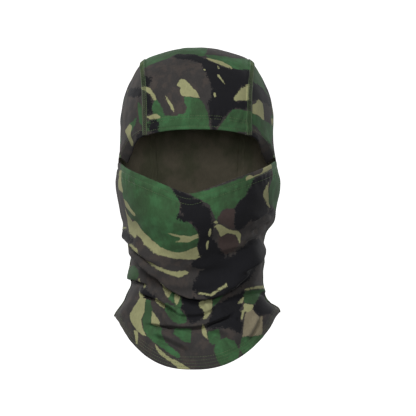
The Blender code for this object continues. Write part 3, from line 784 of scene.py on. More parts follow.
def side_seam(z):
    """The seam between the front piece and the left side panel, at these heights."""
    top = facing_end()
    return left_point(eased(((SEAM_STRAIGHT_LEVEL, 0.0), (top[2], top[1])), z), z)


def mask_level(turn):
    """The height of the mask's edge. It lies level behind the corners."""
    x = np.sin(turn) * MASK_CORNER_X
    across = x - MASK_LOWEST[0]
    slope = np.where(across < 0, *MASK_SLOPES)
    level = MASK_LOWEST[1] + slope * (np.sqrt(across**2 + MASK_BEND**2) - MASK_BEND)
    corner = np.where(turn < 0, CORNER_LEVEL - 0.005, CORNER_LEVEL + 0.001)
    return np.minimum(level, corner)


# Making meshes


def grid_faces(rows, columns, closed=False):
    last = columns if closed else columns - 1
    i, j = np.meshgrid(np.arange(rows - 1), np.arange(last), indexing="ij")
    n = (j + 1) % columns
    here, below = i * columns, (i + 1) * columns
    return np.stack([here + j, here + n, below + n, below + j], -1).reshape(-1, 4)


def add_object(name, data):
    obj = bpy.data.objects.new(name, data)
    bpy.context.scene.collection.objects.link(obj)
    return obj


def add_mesh(name, points, faces):
    mesh = bpy.data.meshes.new(name)
    mesh.from_pydata(points.reshape(-1, 3).tolist(), [], faces.tolist())
    mesh.update()
    return add_object(name, mesh)


def finished_mesh(obj):
    """A plain mesh of the object with its modifiers applied."""
    graph = bpy.context.evaluated_depsgraph_get()
    return bpy.data.meshes.new_from_object(obj.evaluated_get(graph), depsgraph=graph)


def face_out(points, faces, columns):
    """Turns the faces of a grid round if they point into the hood."""
    flat = points.reshape(-1, 3)
    middle = faces[len(faces) // 2]
    a, b, d = flat[middle[0]], flat[middle[1]], flat[middle[3]]
    return faces[:, ::-1] if np.dot(np.cross(b - a, d - a), outward(a)) < 0 else faces


def write_chart(mesh, flat):
    """The cloth's flat coordinates as a UV map, in metres."""
    layer = mesh.uv_layers.new(name="cloth")
    corners = np.zeros(len(mesh.loops), np.int32)
    mesh.loops.foreach_get("vertex_index", corners)
    layer.data.foreach_set("uv", flat[corners].astype(np.float32).ravel())


def settle(obj, *paints):
    """Applies the modifiers, shades the piece smooth and gives it its materials."""
    for paint in paints:
        obj.data.materials.append(paint)
    if obj.modifiers:
        mesh = finished_mesh(obj)
        obj.modifiers.clear()
        old, obj.data = obj.data, mesh
        bpy.data.meshes.remove(old)
    obj.data.shade_smooth()
    return obj


# Materials


class Shade:
    """A socket in a material. Sums, products and the like of shades add Math nodes."""

    def __init__(self, nodes, socket):
        self.nodes = nodes
        self.socket = socket

    def _math(self, operation, *values):
        return self.nodes.add("ShaderNodeMath", {"operation": operation}, dict(enumerate(values)))

    def __add__(self, other):
        return self._math("ADD", self, other)

    def __sub__(self, other):
        return self._math("SUBTRACT", self, other)

    def __rsub__(self, other):
        return self._math("SUBTRACT", other, self)

    def __mul__(self, other):
        return self._math("MULTIPLY", self, other)

    def __truediv__(self, other):
        return self._math("DIVIDE", self, other)

    def __abs__(self):
        return self._math("ABSOLUTE", self)

    def fraction(self):
        return self._math("FRACT", self)

    def step(self, low, high):
        """0 below low, 1 above high, and smooth in between."""
        settings = {"interpolation_type": "SMOOTHSTEP"}
        sockets = {"Value": self, "From Min": low, "From Max": high}
        return self.nodes.add("ShaderNodeMapRange", settings, sockets)

    __radd__ = __add__
    __rmul__ = __mul__


class Nodes:
    """The node tree of a new material."""

    def __init__(self, name):
        self.material = bpy.data.materials.new(name)
        self.material.use_nodes = True
        self.tree = self.material.node_tree
        self.shader = self.tree.nodes["Principled BSDF"]

    def add(self, kind, settings=(), sockets=(), output=0):
        node = self.tree.nodes.new(kind)
        for name, value in dict(settings).items():
            setattr(node, name, value)
        for key, value in dict(sockets).items():
            self.put(node.inputs[key], value)
        return Shade(self, node.outputs[output])

    def put(self, socket, value):
        if isinstance(value, Shade):
            self.tree.links.new(value.socket, socket)
        else:
            socket.default_value = value

    def finish(self, **sockets):
        for name, value in sockets.items():
            self.put(self.shader.inputs[name.replace("_", " ")], value)
        return self.material

    def place(self):
        return self.add("ShaderNodeTexCoord", output="Object")

    def noise(self, place, scale, detail=3.0, roughness=0.55):
        sockets = {"Vector": place, "Scale": scale, "Detail": detail, "Roughness": roughness}
        return self.add("ShaderNodeTexNoise", {}, sockets)

    def stretched(self, place, scale):
        return self.add("ShaderNodeMapping", {}, {"Vector": place, "Scale": scale})

    def mix(self, share, first, second, blend="MIX"):
        """Mixes two colours, through the Mix node's sockets for its factor and its colours."""
        factor, colour_a, colour_b, colour_out = 0, 6, 7, 2
        settings = {"data_type": "RGBA", "blend_type": blend}
        sockets = {factor: share, colour_a: first, colour_b: second}
        return self.add("ShaderNodeMix", settings, sockets, colour_out)

    def bump(self, height, distance, strength=1.0):
        return self.add("ShaderNodeBump", {}, {"Height": height, "Distance": distance, "Strength": strength})


def colour(value):
    return (*value[:3], 1.0)


def knit(nodes, pitch):
    """The height of a plain jersey: columns of small V-shaped stitches, from 0 to 1."""
    uv = nodes.add("ShaderNodeUVMap", {"uv_map": "cloth"})
    across = nodes.add("ShaderNodeSeparateXYZ", {}, {"Vector": uv}, "X")
    along = Shade(nodes, across.socket.node.outputs["Y"])
    wale = (across / pitch).fraction() - 0.5
    course = (along / (pitch * 0.8) + abs(wale)).fraction() - 0.5
    ridge = 1 - abs(course) * 2
    column = 1 - abs(wale) * abs(wale) * 3
    return ridge * column


def cloth_nodes(name):
    """The nodes that the printed side and the lining share: the knit, the fuzz and the tones, which are
    rubbed tones at random with painted shade in the knit's grooves.
    """
    nodes = Nodes(name)
    place = nodes.place()
    settings = bpy.context.scene.balaclava_cloth
    stitches = knit(nodes, settings.knit_pitch)
    fuzz = nodes.noise(place, 2600.0, 2.0)
    slubs = nodes.noise(nodes.stretched(place, (1.0, 1.0, 0.25)), 700.0, 3.0)
    height = stitches * 0.6 + fuzz * 0.25 + slubs * 0.35
    soft = nodes.noise(place, 45.0, 4.0)
    heather = nodes.noise(nodes.stretched(place, (1.4, 1.4, 0.6)), 330.0, 4.0, 0.7)
    normal = nodes.bump(height, 0.00016, 0.5)
    # the knit's height makes the colour darker in its grooves, as painted shade; the noises are rubbed tones
    # at random
    tone = stitches * 0.10 + slubs * 0.24 + soft * 0.50 + heather * 0.40 + 0.38
    roughness = 0.80 + soft * 0.16
    return nodes, place, tone, roughness, normal


def shaded(nodes, tint, tone):
    """A colour made lighter or darker by a tone around 1."""
    grey = nodes.add("ShaderNodeCombineXYZ", {}, {"X": tone, "Y": tone, "Z": tone})
    return nodes.mix(1.0, tint, grey, "MULTIPLY")


# Millimetres by which each colour's edge strays: (unevenness, dry brush marks)
RAGGED = {
    "green": (5.0, 5.0), "khaki": (5.0, 5.0), "brown": (8.0, 6.0), "tan": (2.6, 2.4), "black": (8.5, 13.5),
    "fleck": (2.0, 1.0),
}


def printed_cloth():
    colours = bpy.context.scene.balaclava_colours
    nodes, place, tone, roughness, normal = cloth_nodes("printed_jersey")
    coarse = nodes.noise(place, 170.0, 4.0, 0.7) - 0.5
    torn = nodes.noise(nodes.stretched(place, (0.9, 0.9, 1.25)), 400.0, 5.0, 0.8) - 0.5
    fine = nodes.noise(place, 1100.0, 3.0, 0.7) - 0.5
    wash = nodes.noise(place, 90.0, 4.0)
    dulled = nodes.noise(place, 24.0, 5.0, 0.7)
    tint = nodes.mix(wash.step(0.45, 0.62), colour(colours.charcoal), colour(colours.warm_charcoal))
    for layer in LAYERS:
        rough, brushed = RAGGED[layer]
        depth = nodes.add("ShaderNodeAttribute", {"attribute_name": layer}, {}, "Fac")
        share = (depth + coarse * rough + torn * brushed + fine * 1.8).step(-0.3, 0.3)
        paint = colour(getattr(colours, "tan" if layer == "fleck" else layer))
        if layer == "green":
            paint = nodes.mix(wash.step(0.42, 0.62), paint, colour(colours.bright_green))
            paint = nodes.mix(dulled.step(0.42, 0.62) * 0.8, paint, colour(colours.dull_green))
        if layer == "black":
            share = share * (1 - torn.step(0.15, 0.24) * 0.55)
        tint = nodes.mix(share, tint, paint)
    return nodes.finish(
        Base_Color=shaded(nodes, tint, tone), Roughness=roughness, Normal=normal,
        Sheen_Weight=0.05, Sheen_Roughness=0.5, Specular_IOR_Level=0.12,
    )


def lining_cloth():
    """The unprinted back of the jersey, where the print only shows through faintly."""
    colours = bpy.context.scene.balaclava_colours
    nodes, place, tone, roughness, normal = cloth_nodes("jersey_back")
    ghost = nodes.noise(place, 26.0, 3.0).step(0.42, 0.60)
    tint = nodes.mix(ghost, colour(colours.lining), colour(colours.lining_shadow))
    return nodes.finish(
        Base_Color=shaded(nodes, tint, tone), Roughness=roughness, Normal=normal,
        Sheen_Weight=0.04, Sheen_Roughness=0.5, Specular_IOR_Level=0.1,
    )


def sewing_thread():
    colours = bpy.context.scene.balaclava_colours
    nodes = Nodes("olive_thread")
    place = nodes.place()
    twist = (nodes.noise(place, 900.0, 2.0) - 0.5) * 2
    patches = nodes.noise(place, 60.0, 3.0).step(0.35, 0.70)
    tint = nodes.mix(patches, colour(colours.thread), colour(colours.thread_light))
    normal = nodes.bump(nodes.noise(place, 1800.0, 2.0), 0.0001, 0.6)
    return nodes.finish(
        Base_Color=shaded(nodes, tint, twist * 0.25 + 0.95), Roughness=0.62 + twist * 0.08, Normal=normal,
        Sheen_Weight=0.1, Specular_IOR_Level=0.3,
    )


def elastic_tape():
    nodes = Nodes("woven_elastic")
    ribs = knit(nodes, 0.0016)
    # the grooves between the ribs are painted darker than the ridges: painted shade
    tone = ribs * 0.6 + 0.6
    return nodes.finish(
        Base_Color=shaded(nodes, (0.030, 0.031, 0.028, 1.0), tone), Roughness=0.8 + ribs * 0.1,
        Normal=nodes.bump(ribs, 0.0003, 0.7),
    )


def material(name):
    makers = {
        "printed_jersey": printed_cloth, "jersey_back": lining_cloth,
        "olive_thread": sewing_thread, "woven_elastic": elastic_tape,
    }
    return bpy.data.materials.get(name) or makers[name]()


# Cloth pieces


def laid_grid(name, base, lift):
    """A single sheet over a grid of hood surface points, as it is worn."""
    rows, columns = base.shape[:2]
    points = worn(base, lift)
    return add_mesh(name, points, face_out(points, grid_faces(rows, columns), columns))


def thicken(obj, thickness):
    solidify = obj.modifiers.new("Thickness", "SOLIDIFY")
    solidify.thickness = thickness
    solidify.offset = 0.0
    return solidify


def print_cloth(mesh, base, chart, placed, seed, share):
    """Writes the chart and the print on the mesh of these hood surface points."""
    flat = CHARTS[chart](base.reshape(-1, 3))
    write_chart(mesh, flat)
    placed = [(layer, charted(chart, outline)) for layer, outline in placed]
    print_on(mesh, flat, placed, strokes(seed, flat.min(0), flat.max(0)), share.reshape(-1))


def sew(name, base, lift, chart, placed, seed, share):
    """A piece of cloth from a grid of hood surface points, printed, thickened and lined."""
    obj = laid_grid(name, base, lift)
    print_cloth(obj.data, base, chart, placed, seed, share)
    solidify = thicken(obj, bpy.context.scene.balaclava_cloth.thickness)
    solidify.use_even_offset = True
    solidify.material_offset = 1
    return settle(obj, material("printed_jersey"), material("jersey_back"))


def hem_turn(depth, plies=9, bend=6):
    """A turned hem in section: (distance from its edge, depth inside the outer ply), from the edge's outer
    ply round to the end of the inner ply."""
    half = HEM_FOLD / 2
    angles = np.linspace(0, np.pi, bend + 1)
    around = [(half * (1 - math.sin(a)), half * (1 - math.cos(a))) for a in angles]
    return around + [(away, HEM_FOLD) for away in np.linspace(half, depth, plies)[1:]]


def dented(away, rows):
    """How deep rows of stitches pull the cloth in at these distances from its edge."""
    return -DENT_DEPTH * sum(bell(away, row, DENT_REACH) for row in rows)


# Distances of the thread rows from each hem's edge
MASK_ROWS = (0.0058, 0.0118)
BROW_ROWS = (0.0034, 0.0118, 0.0150)
BOTTOM_ROWS = (0.0030, 0.0066, 0.0102, 0.0138)


def seam_girth(z):
    return GIRTHS.of(side_seam(z))


def solve_level(columns, level_of, start):
    """The height at which each column of the front piece meets an edge, given by height over turn."""
    z = np.full(len(columns), start)
    for _ in range(12):
        z = level_of(GIRTHS.turn(columns * seam_girth(z), z))
    return z


def front_point_at(columns, z):
    return ring_point(GIRTHS.turn(columns * seam_girth(z), z), z)


def mask_lift(columns, away):
    """How far the mask stands off the hood surface, this far below its edge."""
    from_seam = (1 - np.abs(columns)) * seam_girth(np.float64(CORNER_LEVEL))
    low = smooth(away, 0.0, 0.022)
    ends = smooth(from_seam, 0.004, 0.070) * (1 - low) + smooth(from_seam, 0.001, 0.020) * low
    fall = 1 - smooth(away, 0.0, 0.085)
    hem = 0.0006 * (1 - smooth(away, MASK_HEM_DEPTH - 0.001, MASK_HEM_DEPTH + 0.001))
    return 0.0008 * fall + (MASK_LIFT * fall + hem) * ends


def front_grid(columns, main_rows):
    top = solve_level(columns, mask_level, GUESS_TOP)
    low = solve_level(columns, bottom_level, GUESS_LOW)
    half = HEM_FOLD / 2
    base, lift = [], []
    for away, inside in reversed(hem_turn(MASK_HEM_DEPTH)):
        base.append(front_point_at(columns, top - away))
        lift.append(mask_lift(columns, away) + dented(away, MASK_ROWS) - inside)
    for t in np.linspace(0, 1, main_rows)[1:-1]:
        z = (top - half) * (1 - t) + (low + half) * t
        base.append(front_point_at(columns, z))
        lift.append(mask_lift(columns, top - z) + dented(top - z, MASK_ROWS) + dented(z - low, BOTTOM_ROWS))
    for away, inside in hem_turn(BOTTOM_HEM_DEPTH):
        base.append(front_point_at(columns, low + away))
        lift.append(dented(away, BOTTOM_ROWS) - inside + 0 * columns)
    return np.array(base), np.array(lift)


def build_front_cloth():
    columns = np.linspace(-1, 1, 211)
    base, lift = front_grid(columns, 158)
    return sew("front_cloth", base, lift, "front", FRONT, 21, side_share(base))


def strip_hem_point(share, above):
    return strip_line(share, strip_end(share, above))


def build_centre_cloth():
    shares = np.linspace(-1, 1, 77)
    half = HEM_FOLD / 2
    lines, lifts = [], []
    for share in shares:
        x = share * STRIP_BROW
        edge = brow_edge(x)
        front = reversed(hem_turn(BROW_HEM_DEPTH))
        line, lift = [], []
        for away, inside in front:
            line.append(front_point(np.float64(x), np.float64(edge + away)))
            lift.append(dented(away, BROW_ROWS) - inside)
        places = strip_places(share, (edge + half) / BROW_PLACE, 190, 150)
        middle = strip_line(share, places)[1:-1]
        line.extend(middle)
        above_brow = np.where(middle[:, 1] < 0, middle[:, 2] - edge, 1.0)
        above_back = np.where(middle[:, 1] > 0, middle[:, 2] - strip_hem_point(share, 0)[2], 1.0)
        lift.extend(dented(above_brow, BROW_ROWS) + dented(above_back, BOTTOM_ROWS))
        for away, inside in hem_turn(BOTTOM_HEM_DEPTH):
            line.append(strip_hem_point(share, away))
            lift.append(dented(away, BOTTOM_ROWS) - inside)
        lines.append(line)
        lifts.append(lift)
    base = np.swapaxes(np.array(lines), 0, 1)
    return sew("centre_cloth", base, np.array(lifts).T, "crown", CROWN, 5, crown_share(base))


def side_grid(density, columns):
    """The left side panel, between its two rails: the crown seam, and the facing with the side seam below."""
    edge = opening_edge(7 * density + 1, 2 * density)
    facing = beside(edge, FACING_WIDTH)
    mask = np.linspace(facing[-1, 2], JAW_FOLD_LEVEL, 12 * density + 1)
    bib = np.linspace(JAW_FOLD_LEVEL, SHOULDER_LEVEL, 8 * density + 1)
    front = np.concatenate([facing[:-1], side_seam(np.concatenate([mask, bib[1:]]))])
    rows = np.linspace(0, 29, len(front))
    start = facing[0, 2] / BROW_PLACE
    places = np.interp(rows, (0, 1, 18, 29), (start, 1 / 9, 2, strip_end(1.0)))
    crown = strip_line(1.0, places)
    across = np.linspace(0, 1, columns)
    grid = crown[:, None] * (1 - across[:, None]) + front[:, None] * across[:, None]
    turn = turn_of(crown[-1]) + (turn_of(front[-1]) - turn_of(crown[-1])) * across
    half = HEM_FOLD / 2
    sag = bottom_line(turn, half) - grid[-1]
    share = np.clip(rows - 21, 0, None) / 8
    grid = to_surface(grid + share[:, None, None] ** 2 * sag)
    above = grid[..., 2] - bottom_level(turn_of(grid))
    base = [grid[:-1]]
    lift = [dented(np.clip(above[:-1], 0, None), BOTTOM_ROWS)]
    for away, inside in hem_turn(BOTTOM_HEM_DEPTH):
        base.append(bottom_line(turn, away)[None])
        lift.append(np.full((1, columns), dented(away, BOTTOM_ROWS) - inside))
    return np.concatenate(base), np.concatenate(lift)


def build_side_cloth(side, placed, seed):
    base, lift = side_grid(6, 66)
    turn = np.degrees(np.abs(turn_of(base)))
    share = 1 - smooth(turn + 4 * np.sin(base[..., 2] * 200), 66, 84)
    return sew(f"side_cloth_{side}", on_side(side, base), lift, "side", placed, seed, share)


def facing_lift(along, away):
    """The facing curls into the hood towards its edge, more and more down to the corner."""
    curl = FACING_CURL * smooth(along, 0.05, 0.85)
    reach = np.clip(1 - away / FACING_WIDTH, 0, 1)
    return 0.0003 - curl * reach**1.3


def facing_run(count=60, tail=14):
    """The facing's edge, and how far down it each of its points lies: 1 at the corner and under the mask."""
    return opening_edge(count, tail), np.concatenate([np.linspace(0, 1, count), np.ones(tail)])


def build_facing_cloth(side, placed, seed):
    edge, along = facing_run()
    profile = [(FACING_WIDTH + 0.0012, 0.0)]
    profile += [(away, 0.0) for away in np.linspace(FACING_WIDTH, HEM_FOLD, 12)]
    profile += hem_turn(FACING_WIDTH - 0.001)
    base, lift = [], []
    for away, inside in profile:
        base.append(beside(edge, away))
        under = 0.0012 * smooth(np.float64(away), FACING_WIDTH - 0.001, FACING_WIDTH + 0.001)
        lift.append(facing_lift(along, away) - inside - under)
    base = on_side(side, np.array(base))
    return sew(f"facing_cloth_{side}", base, np.array(lift), "side", placed, seed, np.ones(base.shape[:2]))


def tape(name, base, lift):
    """An elastic tape inside a hem."""
    obj = laid_grid(name, base, lift)
    write_chart(obj.data, front_chart(base.reshape(-1, 3)))
    thicken(obj, TAPE_THICKNESS)
    return settle(obj, material("woven_elastic"))


def build_tapes():
    x = np.linspace(-0.056, 0.056, 90)
    brow = np.array([front_point(x, brow_edge(x) + above) for above in np.linspace(0.0045, 0.0135, 8)])
    brow_tape = tape("brow_elastic_tape", brow, -HEM_FOLD / 2 - 0.0001)
    columns = np.linspace(-0.9, 0.9, 160)
    top = solve_level(columns, mask_level, GUESS_TOP)
    levels = np.linspace(0.0022, 0.0100, 8)
    mask = np.array([front_point_at(columns, top - away) for away in levels])
    lift = np.array([mask_lift(columns, away) for away in levels])
    mask_tape = tape("mask_elastic_tape", mask, lift - HEM_FOLD / 2 - 0.0001)
    return brow_tape, mask_tape


# Seams and thread


def band(name, line, width, height, chart, placed, seed, share):
    """The raised cloth of a flat seam along a line. line gives the base points at a shift across it."""
    half = width / 2
    section = [(-half, 0.0), (-half * 0.86, 0.75), (-half * 0.5, 1.0), (-half * 0.12, 0.72)]
    section += [(half * 0.12, 0.72), (half * 0.5, 1.0), (half * 0.86, 0.75), (half, 0.0)]
    outside = [(shift, FABRIC / 2 + rise * height) for shift, rise in section]
    inside = [(-shift, -FABRIC / 2 - rise * height * 0.45) for shift, rise in section]
    base = np.swapaxes(np.array([line(shift) for shift, _ in outside + inside]), 0, 1)
    points = worn(base, np.array([lift for _, lift in outside + inside]))
    rows, columns = points.shape[:2]
    obj = add_mesh(name, points, grid_faces(rows, columns, closed=True))
    bm = bmesh.new()
    bm.from_mesh(obj.data)
    bmesh.ops.holes_fill(bm, edges=[e for e in bm.edges if e.is_boundary])
    bmesh.ops.recalc_face_normals(bm, faces=bm.faces)
    bm.to_mesh(obj.data)
    bm.free()
    obj.data.update()
    print_cloth(obj.data, base, chart, placed, seed, share(base))
    column = np.arange(len(obj.data.polygons)) % columns
    within = (column >= len(outside) - 1) & (np.arange(len(column)) < (rows - 1) * columns)
    obj.data.polygons.foreach_set("material_index", within.astype(np.int32))
    return settle(obj, material("printed_jersey"), material("jersey_back"))


def stitch_tree():
    """Geometry nodes that lay one rounded stitch on each point, turned by the point's two directions."""
    tree = bpy.data.node_groups.new("Thread stitches", "GeometryNodeTree")
    sockets = tree.interface
    sockets.new_socket("Geometry", in_out="INPUT", socket_type="NodeSocketGeometry")
    for name in ("Length", "Width", "Height"):
        sockets.new_socket(name, in_out="INPUT", socket_type="NodeSocketFloat")
    sockets.new_socket("Material", in_out="INPUT", socket_type="NodeSocketMaterial")
    sockets.new_socket("Geometry", in_out="OUTPUT", socket_type="NodeSocketGeometry")
    link = tree.links.new

    def node(kind, **settings):
        made = tree.nodes.new(kind)
        for name, value in settings.items():
            setattr(made, name, value)
        return made

    def named(name):
        made = node("GeometryNodeInputNamedAttribute", data_type="FLOAT_VECTOR")
        made.inputs["Name"].default_value = name
        return made.outputs["Attribute"]

    inputs, outputs = node("NodeGroupInput"), node("NodeGroupOutput")
    bead = node("GeometryNodeMeshUVSphere")
    bead.inputs["Segments"].default_value = 6
    bead.inputs["Rings"].default_value = 5
    bead.inputs["Radius"].default_value = 0.5
    along = node("FunctionNodeAlignRotationToVector", axis="Z")
    link(named("way"), along.inputs["Vector"])
    facing = node("FunctionNodeAlignRotationToVector", axis="X", pivot_axis="Z")
    link(along.outputs["Rotation"], facing.inputs["Rotation"])
    link(named("out"), facing.inputs["Vector"])
    size = node("ShaderNodeCombineXYZ")
    for socket, name in zip(size.inputs, ("Height", "Width", "Length")):
        link(inputs.outputs[name], socket)
    points = node("GeometryNodeMeshToPoints")
    link(inputs.outputs["Geometry"], points.inputs["Mesh"])
    laid = node("GeometryNodeInstanceOnPoints")
    link(points.outputs["Points"], laid.inputs["Points"])
    link(bead.outputs["Mesh"], laid.inputs["Instance"])
    link(facing.outputs["Rotation"], laid.inputs["Rotation"])
    link(size.outputs["Vector"], laid.inputs["Scale"])
    real = node("GeometryNodeRealizeInstances")
    link(laid.outputs["Instances"], real.inputs["Geometry"])
    painted = node("GeometryNodeSetMaterial")
    link(real.outputs["Geometry"], painted.inputs["Geometry"])
    link(inputs.outputs["Material"], painted.inputs["Material"])
    link(painted.outputs["Geometry"], outputs.inputs["Geometry"])
    return tree


def walked(path, pitch):
    """Places along a path at an even pitch, as indices of its points with their fractions."""
    runs = np.concatenate([[0], np.cumsum(np.linalg.norm(np.diff(path, axis=0), axis=1))])
    count = max(2, int(runs[-1] / pitch))
    return np.interp((np.arange(count) + 0.5) * runs[-1] / count, runs, np.arange(len(path)))


def sampled(path, at):
    index = np.arange(len(path))
    return np.stack([np.interp(at, index, path[:, k]) for k in range(3)], -1)


def stitch_row(base, lift, pitch, across=0.0, slant=0.0):
    """Stitches along a line: their places, the way each lies and the way out of the cloth. across moves
    them beside the line, and slant turns them: 0 lies along it, and 1 straight across it."""
    path = worn(base, lift)
    at = walked(path, pitch)
    place = sampled(path, at)
    way = sampled(np.gradient(path, axis=0), at)
    way /= np.linalg.norm(way, axis=1, keepdims=True)
    out = sampled(outward(base), at)
    side = np.cross(out, way)
    side /= np.linalg.norm(side, axis=1, keepdims=True)
    angle = slant * np.pi / 2
    turned = way * math.cos(angle) + side * math.sin(angle)
    return np.concatenate([place + side * across, turned, out], axis=1)


def paint_whole(mesh, paint):
    mesh.materials.clear()
    mesh.materials.append(paint)
    mesh.polygons.foreach_set("material_index", np.zeros(len(mesh.polygons), np.int32))


def lay_stitches(name, rows, length, width, height):
    """Turns rows of stitches into one mesh of thread."""
    data = np.concatenate(rows)
    seeds = add_mesh(name + "_points", data[:, :3], np.zeros((0, 4), int))
    for label, part in (("way", data[:, 3:6]), ("out", data[:, 6:9])):
        attribute = seeds.data.attributes.new(label, "FLOAT_VECTOR", "POINT")
        attribute.data.foreach_set("vector", part.astype(np.float32).ravel())
    tree = bpy.data.node_groups.get("Thread stitches") or stitch_tree()
    nodes = seeds.modifiers.new("Stitches", "NODES")
    nodes.node_group = tree
    values = {"Length": length, "Width": width, "Height": height, "Material": material("olive_thread")}
    for item in tree.interface.items_tree:
        if item.in_out == "INPUT" and item.name in values:
            nodes[item.identifier] = values[item.name]
    mesh = finished_mesh(seeds)
    mesh.name = name
    paint_whole(mesh, material("olive_thread"))
    mesh.shade_smooth()
    bpy.data.objects.remove(seeds)
    return add_object(name, mesh)


def thread_size():
    thread = bpy.context.scene.balaclava_thread
    return thread.stitch_length, thread.stitch_gap, thread.thickness


ON_CLOTH = FABRIC / 2


def build_brow_stitches():
    length, gap, thick = thread_size()
    x = np.linspace(-STRIP_BROW + SEAM_WIDTH / 2, STRIP_BROW - SEAM_WIDTH / 2, 120)
    rows = []
    for above in BROW_ROWS:
        base = front_point(x, brow_edge(x) + above)
        rows.append(stitch_row(base, ON_CLOTH + dented(above, BROW_ROWS), length + gap))
    return lay_stitches("brow_stitches", rows, length, thick, thick * 0.8)


def build_mask_stitches():
    length, gap, thick = thread_size()
    columns = np.linspace(-0.96, 0.96, 300)
    top = solve_level(columns, mask_level, GUESS_TOP)
    rows = []
    for away in MASK_ROWS:
        base = front_point_at(columns, top - away)
        lift = ON_CLOTH + mask_lift(columns, away) + dented(away, MASK_ROWS)
        rows.append(stitch_row(base, lift, length + gap))
    return lay_stitches("mask_stitches", rows, length, thick, thick * 0.8)


def build_facing_stitches(side):
    length, gap, thick = thread_size()
    edge, along = facing_run()
    away = FACING_WIDTH - FACING_ROW_INSET
    sewn = slice(3, -8)
    base = on_side(side, beside(edge, away)[sewn])
    rows = [stitch_row(base, ON_CLOTH + facing_lift(along, away)[sewn], length + gap)]
    return lay_stitches(f"facing_stitches_{side}", rows, length, thick, thick * 0.8)


def build_bottom_stitches():
    length, gap, thick = thread_size()
    turn = np.linspace(-np.pi, np.pi, 721)
    rows = []
    for above in BOTTOM_ROWS:
        base = bottom_line(turn, above)
        rows.append(stitch_row(base, ON_CLOTH + dented(above, BOTTOM_ROWS), length + gap))
    return lay_stitches("bottom_stitches", rows, length, thick, thick * 0.8)


def seam_thread(name, base, width, height):
    """The threads of a flat seam: bars that cross it on a slant, and a line of stitches along each side."""
    lift = ON_CLOTH + height
    bars = [stitch_row(base, lift, SEAM_PITCH, 0.0, slant) for slant in (0.72, -0.72)]
    sides = [stitch_row(base, ON_CLOTH + height * 0.8, SEAM_PITCH, s * width * 0.42) for s in (-1, 1)]
    return joined(
        name,
        lay_stitches(name + "_bars", bars, width * 0.95, 0.00032, 0.0005),
        lay_stitches(name + "_sides", sides, SEAM_PITCH, 0.00095, 0.0009),
    )


def joined(name, *objs):
    """One object from several that share their material."""
    bm = bmesh.new()
    for obj in objs:
        bm.from_mesh(obj.data)
    mesh = bpy.data.meshes.new(name)
    bm.to_mesh(mesh)
    bm.free()
    paint_whole(mesh, material("olive_thread"))
    mesh.shade_smooth()
    for obj in objs:
        bpy.data.objects.remove(obj)
    return add_object(name, mesh)


def crown_share(base):
    run = crown_chart(base)[..., 1]
    return (1 - smooth(run + 0.006 * np.sin(base[..., 0] * 90), 0.118, 0.150)).reshape(-1)


def side_share(base):
    turn = np.degrees(np.abs(turn_of(base)))
    return (1 - smooth(turn + 4 * np.sin(base[..., 2] * 260), 80, 94)).reshape(-1)


def build_crown_seam(side):
    sign = 1 if side == "left" else -1
    start = brow_edge(STRIP_BROW) / BROW_PLACE
    places = strip_places(1.0, start, 200, 150)

    def line(shift):
        return strip_line(sign * 1.0, places, shift)

    name = f"crown_seam_cloth_{side}"
    cloth = band(name, line, SEAM_WIDTH, SEAM_HEIGHT, "crown", CROWN, 5, crown_share)
    return cloth, seam_thread(f"crown_seam_thread_{side}", line(0.0), SEAM_WIDTH, SEAM_HEIGHT)


def build_side_seam(side):
    z = np.linspace(facing_end()[2] - MASK_HEM_DEPTH - 0.004, SHOULDER_LEVEL, 150)
    base = on_side(side, side_seam(z))
    width, height = SEAM_WIDTH * 0.8, SEAM_HEIGHT * 0.8

    def line(shift):
        return beside(base, shift)

    name = f"side_seam_cloth_{side}"
    cloth = band(name, line, width, height, "front", FRONT, 21, side_share)
    return cloth, seam_thread(f"side_seam_thread_{side}", base, width, height)


def build_corner_tack(side):
    """A bar tack: close-set bars over a short line beside the corner of the opening."""
    y = CORNER_Y + np.linspace(-0.005, 0.005, 30)
    base = on_side(side, left_point(y, np.float64(CORNER_LEVEL + 0.0022)))
    rows = [stitch_row(base, ON_CLOTH + 0.0008, 0.0006, 0.0, 0.9)]
    return lay_stitches(f"corner_tack_thread_{side}", rows, 0.0032, 0.0006, 0.0009)


# Scene settings that a user may change


def length_property(name, description, default):
    return bpy.props.FloatProperty(
        name=name, description=description, default=default, min=0.0, unit="LENGTH", subtype="DISTANCE"
    )


def colour_property(name, description, default):
    return bpy.props.FloatVectorProperty(
        name=name, description=description, default=default, size=3, min=0.0, max=1.0, subtype="COLOR"
    )


class BalaclavaCloth(bpy.types.PropertyGroup):
    thickness: length_property("Thickness", "Thickness of the jersey", FABRIC)
    knit_pitch: length_property("Knit pitch", "Width of one column of the knit", 0.0011)


class BalaclavaColours(bpy.types.PropertyGroup):
    charcoal: colour_property("Charcoal", "Ground colour of the print", (0.038, 0.035, 0.034))
    warm_charcoal: colour_property("Warm charcoal", "Browner areas of the ground", (0.050, 0.042, 0.038))
    green: colour_property("Green", "Main green of the print", (0.038, 0.092, 0.038))
    bright_green: colour_property("Bright green", "Fresher green in the green areas", (0.043, 0.118, 0.048))
    dull_green: colour_property("Dull green", "Faded green within the green areas", (0.034, 0.064, 0.030))
    khaki: colour_property("Khaki", "Dull brown-tan of the print", (0.190, 0.165, 0.110))
    brown: colour_property("Brown", "Red-brown of the print", (0.052, 0.037, 0.034))
    tan: colour_property("Tan", "Light tan of the print", (0.262, 0.262, 0.135))
    black: colour_property("Black", "Brushed black of the print", (0.0095, 0.0095, 0.0115))
    lining: colour_property("Lining", "Back of the jersey", (0.190, 0.170, 0.124))
    lining_shadow: colour_property("Lining shadow", "Print showing through the back", (0.128, 0.129, 0.084))
    thread: colour_property("Thread", "Olive sewing thread", (0.052, 0.088, 0.034))
    thread_light: colour_property("Light thread", "Rubbed sewing thread", (0.088, 0.125, 0.050))


class BalaclavaThread(bpy.types.PropertyGroup):
    stitch_length: length_property("Stitch length", "Length of one stitch that shows", 0.0022)
    stitch_gap: length_property("Stitch gap", "Gap between two stitches of a row", 0.0006)
    thickness: length_property("Thread thickness", "Width of the sewing thread", 0.00055)


